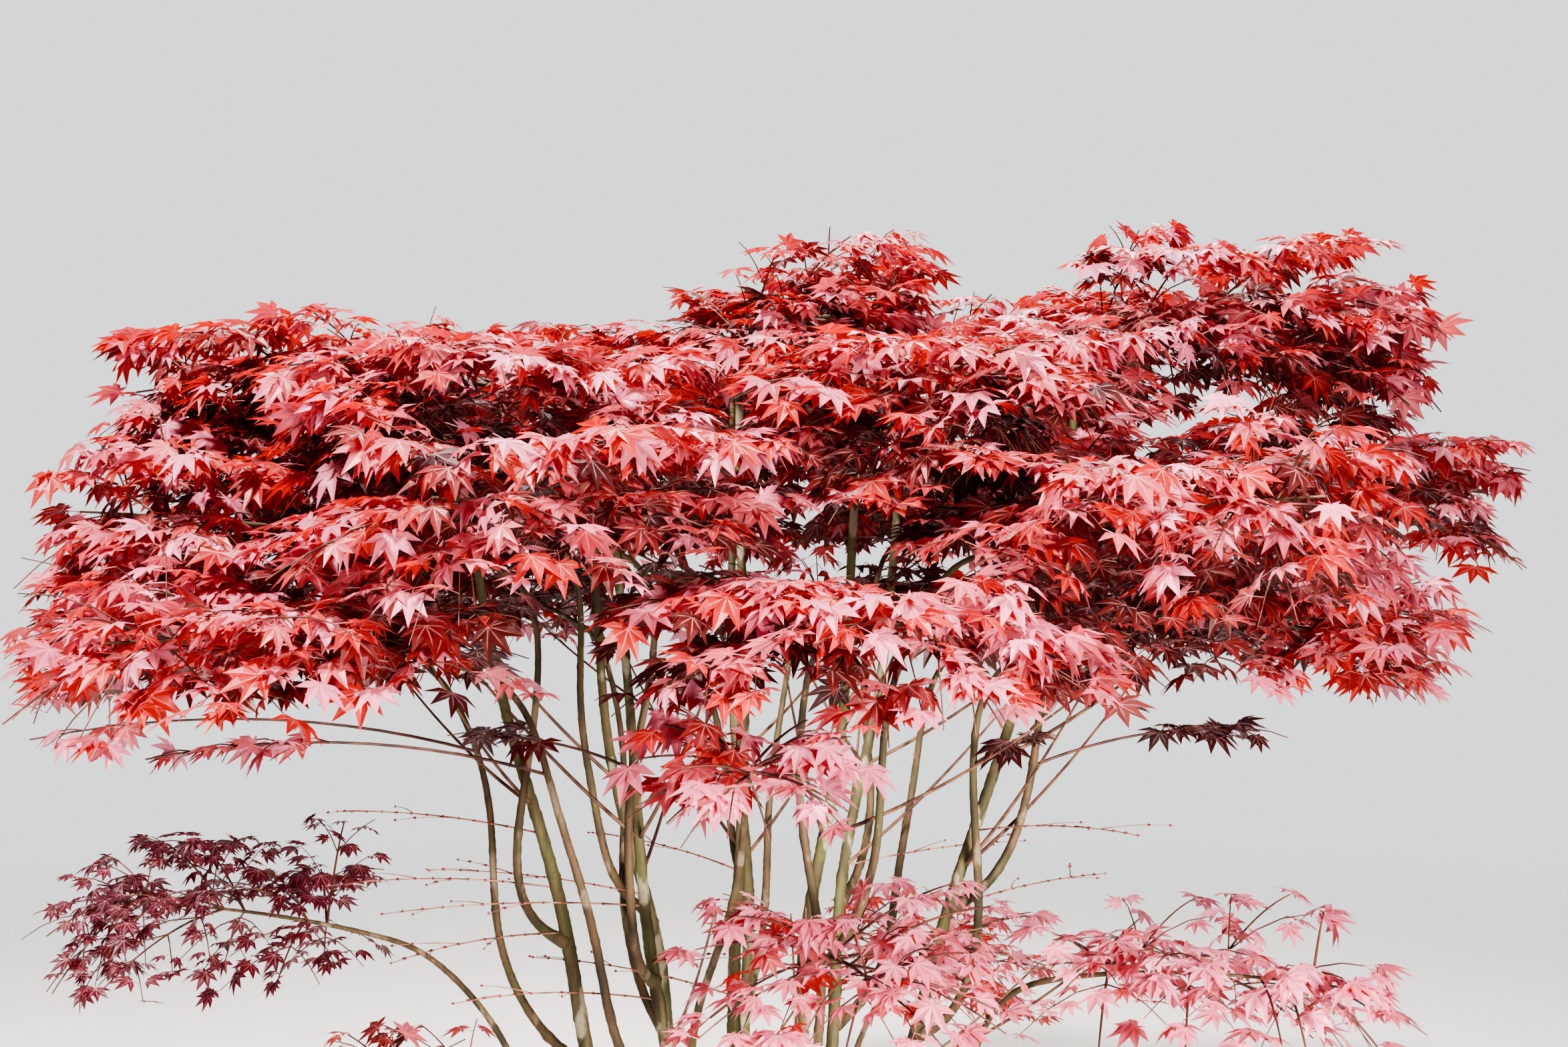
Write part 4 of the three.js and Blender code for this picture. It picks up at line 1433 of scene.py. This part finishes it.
def leaf_turn(level, pitch, roll):
    """The forward direction of leaves that hang down by their pitch, and their Euler angles."""
    forward = level * np.cos(pitch)[:, None] - UP * np.sin(pitch)[:, None]
    side = unit(np.cross(level, UP))
    side = side * np.cos(roll)[:, None] + np.cross(side, forward) * np.sin(roll)[:, None]
    up = np.cross(side, forward)
    lean = np.arctan2(forward[:, 2], up[:, 2])
    tilt = -np.arcsin(np.clip(side[:, 2], -1, 1))
    return forward, np.stack([lean, tilt, np.arctan2(side[:, 1], side[:, 0])], axis=1)


def leaves_of(mass, leaves, settings):
    """The leaves of one mass that keep to its space, to the crown's reach and clear of the limbs."""
    luck, base, level, normal, chance = (np.array(column) for column in zip(*leaves))
    azimuth = np.degrees(np.arctan2(base[:, 1], base[:, 0]))
    reach = np.array([crown_reach(a) for a in azimuth])
    away = np.hypot(base[:, 0], base[:, 1]) / reach
    rim = np.clip((away - LEAFING["rim_start"]) / LEAFING["rim_width"], 0, 1)
    pitch = LEAFING["rim_pitch"] * rim + LEAFING["pitch_jitter"] * normal[:, 0]
    pitch = np.radians(np.clip(pitch, *LEAFING["pitches"]))
    forward, turn = leaf_turn(level, pitch, LEAFING["roll"] * normal[:, 1])
    size = settings.length * (LEAFING["size"][0] + np.ptp(LEAFING["size"]) * chance[:, 0])
    if mass.name == SHADED:
        size = size * settings.shaded_scale
    elif mass.centre[2] < LEAFING["low_below"]:
        size = size * settings.low_scale
    tip = base + forward * (size * (1 + LEAF["petiole"]))[:, None]
    middle = base + forward * (size * (LEAF["middle"] + LEAF["petiole"]))[:, None]
    kept = room(mass, tip) & room(mass, middle)
    kept &= np.hypot(middle[:, 0], middle[:, 1]) < reach - LEAFING["rim_gap"]
    places = np.linspace(0, 1, LIMB_SAMPLES)
    for limb in LIMBS:
        away = np.linalg.norm(middle[:, None] - limb.curve.points(places)[None], axis=2)
        kept &= (away - limb.radius(places)).min(axis=1) > LEAFING["limb_gap"]
    return [
        (mass.name, mass.low, base[i], turn[i], size[i], chance[i], luck[i])
        for i in np.flatnonzero(kept)
    ]


def leaf_rows(growth, settings):
    """The plant's leaves as columns: mass, where each stands, how it is turned, size and tint."""
    rows = []
    for mass in [*MASSES, *HANGING]:
        own = [leaf[1:] for leaf in growth.leaves if leaf[0] is mass]
        rows += leaves_of(mass, own, settings)
    names, low, bases, turns, sizes, chances, lucks = (np.array(column) for column in zip(*rows))
    light = openness(bases, low)
    dropped = np.clip(1 - light / OPENNESS["drop_below"], 0, 1)
    kept = np.random.default_rng(FIRST_SEED).random(len(light)) >= dropped
    # Tints by painted light and shade: the more open a leaf is, the paler its tint, with luck mixed in
    light_and_luck_rank = light + OPENNESS["spray"] * lucks + OPENNESS["leaf"] * chances[:, 3]
    light_and_luck_rank += [PAINTED_LIGHT_SHIFTS.get(name, 0.0) for name in names]
    order = np.argsort(np.argsort(-light_and_luck_rank[kept])) / kept.sum()
    shares = np.cumsum([tint[1] for tint in LIGHT_AND_SHADE_TINTS])
    tints = np.array([tint[0] for tint in LIGHT_AND_SHADE_TINTS])[np.searchsorted(shares[:-1], order, side="right")]
    tints[names[kept] == SHADED] = PAINTED_SHADE_PLUM[0]
    columns = {"mass": names, "base": bases, "turn": turns, "size": sizes, "chance": chances}
    return {"tint": tints, **{label: column[kept] for label, column in columns.items()}}


def make_leaves(growth, settings):
    """The pieces of leaves, by tint and by the front or back of the plant."""
    rows = leaf_rows(growth, settings)
    forms = forms_collection("leaf_forms", [leaf_form(number) for number in range(LEAF["forms"])])
    tree = scatter_tree()
    hanging = {mass.name for mass in HANGING}
    for tint, _, deep, bright, glow in [*LIGHT_AND_SHADE_TINTS, PAINTED_SHADE_PLUM]:
        material = leaf_material(f"leaf_{tint}", deep, bright, glow, settings)
        for half, front in (("front", True), ("back", False)):
            own = (rows["tint"] == tint) & ((rows["base"][:, 1] < 0) == front)
            if not own.any():
                continue
            chance = rows["chance"][own]
            values = {
                "turn": rows["turn"][own],
                "grown": rows["size"][own],
                "form": (chance[:, 1] * LEAF["forms"]).astype(int),
                "tone": chance[:, 2],
            }
            name = f"leaves_{tint}_{half}"
            piece = scattered(name, rows["base"][own], values, forms, tree, material)
            finished(piece, set(rows["mass"][own].tolist()) - hanging)
    remove_forms(forms)


# Stage

FLOOR_REACH = 30.0
SENSOR_WIDTH = 36.0

# Colour and strength of the light from all round, and of the backdrop that the camera sees
AMBIENT = ((0.8, 0.88, 1.0), 0.215)
BACKDROP = ((0.93, 0.94, 0.95), 0.95)

# Name, place, target, width, power in watts, spread and colour
LAMPS = [
    ("key", (-2.4, -3.6, 6.6), (0, 0, 1.3), 0.8, 1230, 180, (1.0, 0.96, 0.9)),
    ("top", (1.2, 2.8, 5.8), (0, 0, 1.4), 1.6, 330, 180, (1.0, 0.97, 0.93)),
    ("fill", (2.0, -4.6, 1.5), (0.42, -0.7, 0.62), 1.0, 60, 50, (1.0, 0.93, 0.83)),
]


def studio_world():
    """Soft light from all round, before a plain pale backdrop."""
    world = bpy.data.worlds.new("studio")
    world.use_nodes = True
    world.node_tree.nodes.clear()
    wire = Wire(world.node_tree)
    seen = wire.add("ShaderNodeLightPath", output="Is Camera Ray")
    soft, pale = (
        wire.add("ShaderNodeBackground", None, {"Color": (*colour, 1), "Strength": strength})
        for colour, strength in (AMBIENT, BACKDROP)
    )
    both = wire.add("ShaderNodeMixShader", None, {0: seen, 1: soft, 2: pale})
    wire.add("ShaderNodeOutputWorld", None, {"Surface": both})
    return world


def aim(thing, place, target):
    """Puts a light or camera at a place and turns it towards a target."""
    thing.location = place
    thing.rotation_euler = (Vector(target) - Vector(place)).to_track_quat("-Z", "Y").to_euler()


# Settings


def length_setting(label, description, value):
    return bpy.props.FloatProperty(name=label, description=description, default=value, unit="LENGTH")


def share_setting(label, description, value):
    return bpy.props.FloatProperty(name=label, description=description, default=value, subtype="FACTOR")


def colour_setting(label, description, value):
    return bpy.props.FloatVectorProperty(
        name=label, description=description, default=value, subtype="COLOR"
    )


class MapleLeafSettings(bpy.types.PropertyGroup):
    """Sizes and finish of the leaves."""

    length: length_setting("Lobe length", "Length of a leaf's middle lobe", 0.049)
    low_scale: bpy.props.FloatProperty(
        name="Low size", description="Size of the leaves of the lowest sprays", default=0.82
    )
    shaded_scale: bpy.props.FloatProperty(
        name="Shaded size", description="Size of the leaves of the shaded low spray", default=0.62
    )
    roughness: share_setting("Roughness", "Least roughness of a leaf's top", 0.36)
    translucence: share_setting("Translucence", "Share of light that goes through a leaf", 0.38)
    bloom: share_setting("Bloom", "Pale sheen of a leaf's top", 0.25)
    vein_strength: share_setting("Midribs", "How clearly the midribs show", 0.5)
    vein_colour: colour_setting("Midrib colour", "Pale colour of the midribs", (0.85, 0.42, 0.42))


class MapleTwigSettings(bpy.types.PropertyGroup):
    """Sizes and colours of the twigs."""

    sides: bpy.props.IntProperty(name="Sides", description="Sides of a twig's section", default=4)
    thickness: bpy.props.FloatProperty(
        name="Thickness", description="Thickness of the twigs against their rule", default=1.0
    )
    dark: colour_setting("Dark", "Darker colour of the twigs", (0.045, 0.016, 0.014))
    light: colour_setting("Light", "Lighter colour of the twigs", (0.16, 0.05, 0.035))


class MapleBarkSettings(bpy.types.PropertyGroup):
    """Colours of the bark."""

    dark: colour_setting("Dark", "Streaks of the stems' bark", (0.042, 0.033, 0.016))
    light: colour_setting("Light", "Plain colour of the stems' bark", (0.125, 0.102, 0.046))
    patch: colour_setting("Patches", "Pale patches of the stems' bark", (0.33, 0.31, 0.22))
    moss: colour_setting("Green tinge", "Green tinge of the bark", (0.098, 0.112, 0.034))


class MapleStageSettings(bpy.types.PropertyGroup):
    """Camera, light and floor."""

    lens: bpy.props.FloatProperty(name="Lens", description="Focal length in millimetres", default=50.0)
    distance: length_setting("Distance", "From the camera to the plant's middle", 3.75)
    height: length_setting("Height", "Height of the camera above the ground", 1.5)
    aside: length_setting("Aside", "How far the camera stands to the right", 0.062)
    floor: colour_setting("Floor", "Colour of the floor", (0.72, 0.71, 0.68))


# Operators


class MAPLE_OT_root_crown(bpy.types.Operator):
    """Makes the root crown with its buttresses"""

    bl_idname = "maple.root_crown"
    bl_label = "Root crown"

    def execute(self, context):
        bark = context.scene.maple_bark
        material = bark_material("root_bark", bark.dark, bark.light, bark.patch, bark.moss)
        mesh = plain_mesh("root_crown", *root_crown_part(), smooth=True)
        finished(added("root_crown", mesh, material), ["trunk"])
        return {"FINISHED"}


class MAPLE_OT_limbs(bpy.types.Operator):
    """Makes the stems and boughs with the relief of their bark"""

    bl_idname = "maple.limbs"
    bl_label = "Stems and boughs"

    def execute(self, context):
        bark = context.scene.maple_bark
        old = bark_material("stem_bark", bark.dark, bark.light, bark.patch, bark.moss)
        young = bark_material("bough_bark", scaled(bark.dark, SHADES["bough"]), *YOUNG_BARK)
        kinds = [("stem", STEM, old, "bark"), ("bough", BOUGH, young, "young_bark")]
        for kind, sizes, material, slot in kinds:
            own = [(i, limb) for i, limb in enumerate(LIMBS) if limb.name.startswith(kind)]
            parts = [limb_part(limb, i, sizes["sides"]) for i, limb in own]
            mesh = plain_mesh(f"{kind}s", *joined(parts), smooth=True)
            finished(added(f"{kind}s", mesh, material), [limb.name for _, limb in own])
        return {"FINISHED"}


class MAPLE_OT_branches(bpy.types.Operator):
    """Makes the thin branches that fan out under the crown"""

    bl_idname = "maple.branches"
    bl_label = "Thin branches"

    def execute(self, context):
        settings = context.scene.maple_twigs
        material = twig_material("branch_bark", scaled(settings.dark, SHADES["branch"]), BRANCH_LIGHT)
        twig_piece("thin_branches", fan_branches(), BRANCH["sides"], settings.thickness, material)
        return {"FINISHED"}


class MAPLE_OT_twigs(bpy.types.Operator):
    """Grows the twigs of every mass"""

    bl_idname = "maple.twigs"
    bl_label = "Twigs"

    def execute(self, context):
        settings = context.scene.maple_twigs
        material = twig_material("twig_bark", settings.dark, settings.light)
        nodes = [mass.name for mass in MASSES]
        twig_piece("twigs", grown().twigs, settings.sides, settings.thickness, material, nodes)
        return {"FINISHED"}


class MAPLE_OT_bare_twigs(bpy.types.Operator):
    """Makes the bare twigs low on the stems, with their buds"""

    bl_idname = "maple.bare_twigs"
    bl_label = "Bare twigs"

    def execute(self, context):
        twigs, buds = bare_twigs()
        thickness = context.scene.maple_twigs.thickness
        material = twig_material("bare_twig_bark", *BARE_BARK)
        twig_piece("bare_twigs", twigs, BARE_TWIG["sides"], thickness, material)
        ends = np.array([unit(along) for _, along in buds])
        pitch, yaw = np.arcsin(ends[:, 2]), np.arctan2(-ends[:, 0], ends[:, 1])
        values = {
            "turn": np.stack([pitch, np.zeros(len(buds)), yaw], axis=1),
            "grown": np.full(len(buds), BARE_TWIG["bud_length"]),
            "form": np.zeros(len(buds), int),
        }
        forms = forms_collection("bud_forms", [bud_form()])
        material = twig_material("bud_scales", *BUD_SCALES)
        piece = scattered("buds", [place for place, _ in buds], values, forms, scatter_tree(), material)
        finished(piece)
        remove_forms(forms)
        return {"FINISHED"}


class MAPLE_OT_leaves(bpy.types.Operator):
    """Puts the leaves on the twigs, each tint apart"""

    bl_idname = "maple.leaves"
    bl_label = "Leaves"

    def execute(self, context):
        make_leaves(grown(), context.scene.maple_leaves)
        return {"FINISHED"}


class MAPLE_OT_stage(bpy.types.Operator):
    """Sets up the floor, the lights and the camera"""

    bl_idname = "maple.stage"
    bl_label = "Stage"

    def execute(self, context):
        settings = context.scene.maple_stage
        corners = [(-FLOOR_REACH, -FLOOR_REACH, 0), (FLOOR_REACH, -FLOOR_REACH, 0)]
        corners += [(FLOOR_REACH, FLOOR_REACH, 0), (-FLOOR_REACH, FLOOR_REACH, 0)]
        mesh = plain_mesh("floor", corners, [(0, 1, 2, 3)])
        added("floor", mesh, floor_material(settings.floor))
        context.scene.world = studio_world()
        context.scene.view_settings.look = "AgX - High Contrast"
        for name, place, target, width, power, spread, colour in LAMPS:
            light = bpy.data.lights.new(name, "AREA")
            light.shape = "DISK"
            light.size = width
            light.energy = power
            light.spread = math.radians(spread)
            light.color = colour
            aim(added(name, light), place, target)
        camera = bpy.data.cameras.new("camera")
        camera.lens = settings.lens
        camera.sensor_width = SENSOR_WIDTH
        place = (settings.aside, -settings.distance, settings.height)
        context.scene.camera = added("camera", camera)
        aim(context.scene.camera, place, (settings.aside, 0.0, settings.height))
        return {"FINISHED"}


class MAPLE_PT_panel(bpy.types.Panel):
    """Lists the operators and their settings"""

    bl_label = "Japanese Maple"
    bl_idname = "MAPLE_PT_panel"
    bl_space_type = "VIEW_3D"
    bl_region_type = "UI"
    bl_category = "Maple"

    def draw(self, context):
        for operator in OPERATORS:
            self.layout.operator(operator.bl_idname)
        for name in SETTINGS:
            box = self.layout.box()
            group = getattr(context.scene, name)
            for label in group.bl_rna.properties.keys():
                if label not in ("rna_type", "name"):
                    box.prop(group, label)


OPERATORS = [
    MAPLE_OT_root_crown,
    MAPLE_OT_limbs,
    MAPLE_OT_branches,
    MAPLE_OT_twigs,
    MAPLE_OT_bare_twigs,
    MAPLE_OT_leaves,
    MAPLE_OT_stage,
]
SETTINGS = {
    "maple_leaves": MapleLeafSettings,
    "maple_twigs": MapleTwigSettings,
    "maple_bark": MapleBarkSettings,
    "maple_stage": MapleStageSettings,
}


def register():
    for kind in [*SETTINGS.values(), *OPERATORS, MAPLE_PT_panel]:
        bpy.utils.register_class(kind)
    for name, kind in SETTINGS.items():
        setattr(bpy.types.Scene, name, bpy.props.PointerProperty(type=kind))


def unregister():
    for name in SETTINGS:
        delattr(bpy.types.Scene, name)
    for kind in reversed([*SETTINGS.values(), *OPERATORS, MAPLE_PT_panel]):
        bpy.utils.unregister_class(kind)


def main():
    register()
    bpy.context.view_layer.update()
    bpy.ops.maple.root_crown()
    bpy.ops.maple.limbs()
    bpy.ops.maple.branches()
    bpy.ops.maple.twigs()
    bpy.ops.maple.bare_twigs()
    bpy.ops.maple.leaves()
    bpy.ops.maple.stage()
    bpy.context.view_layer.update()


if __name__ == "__main__":
    main()
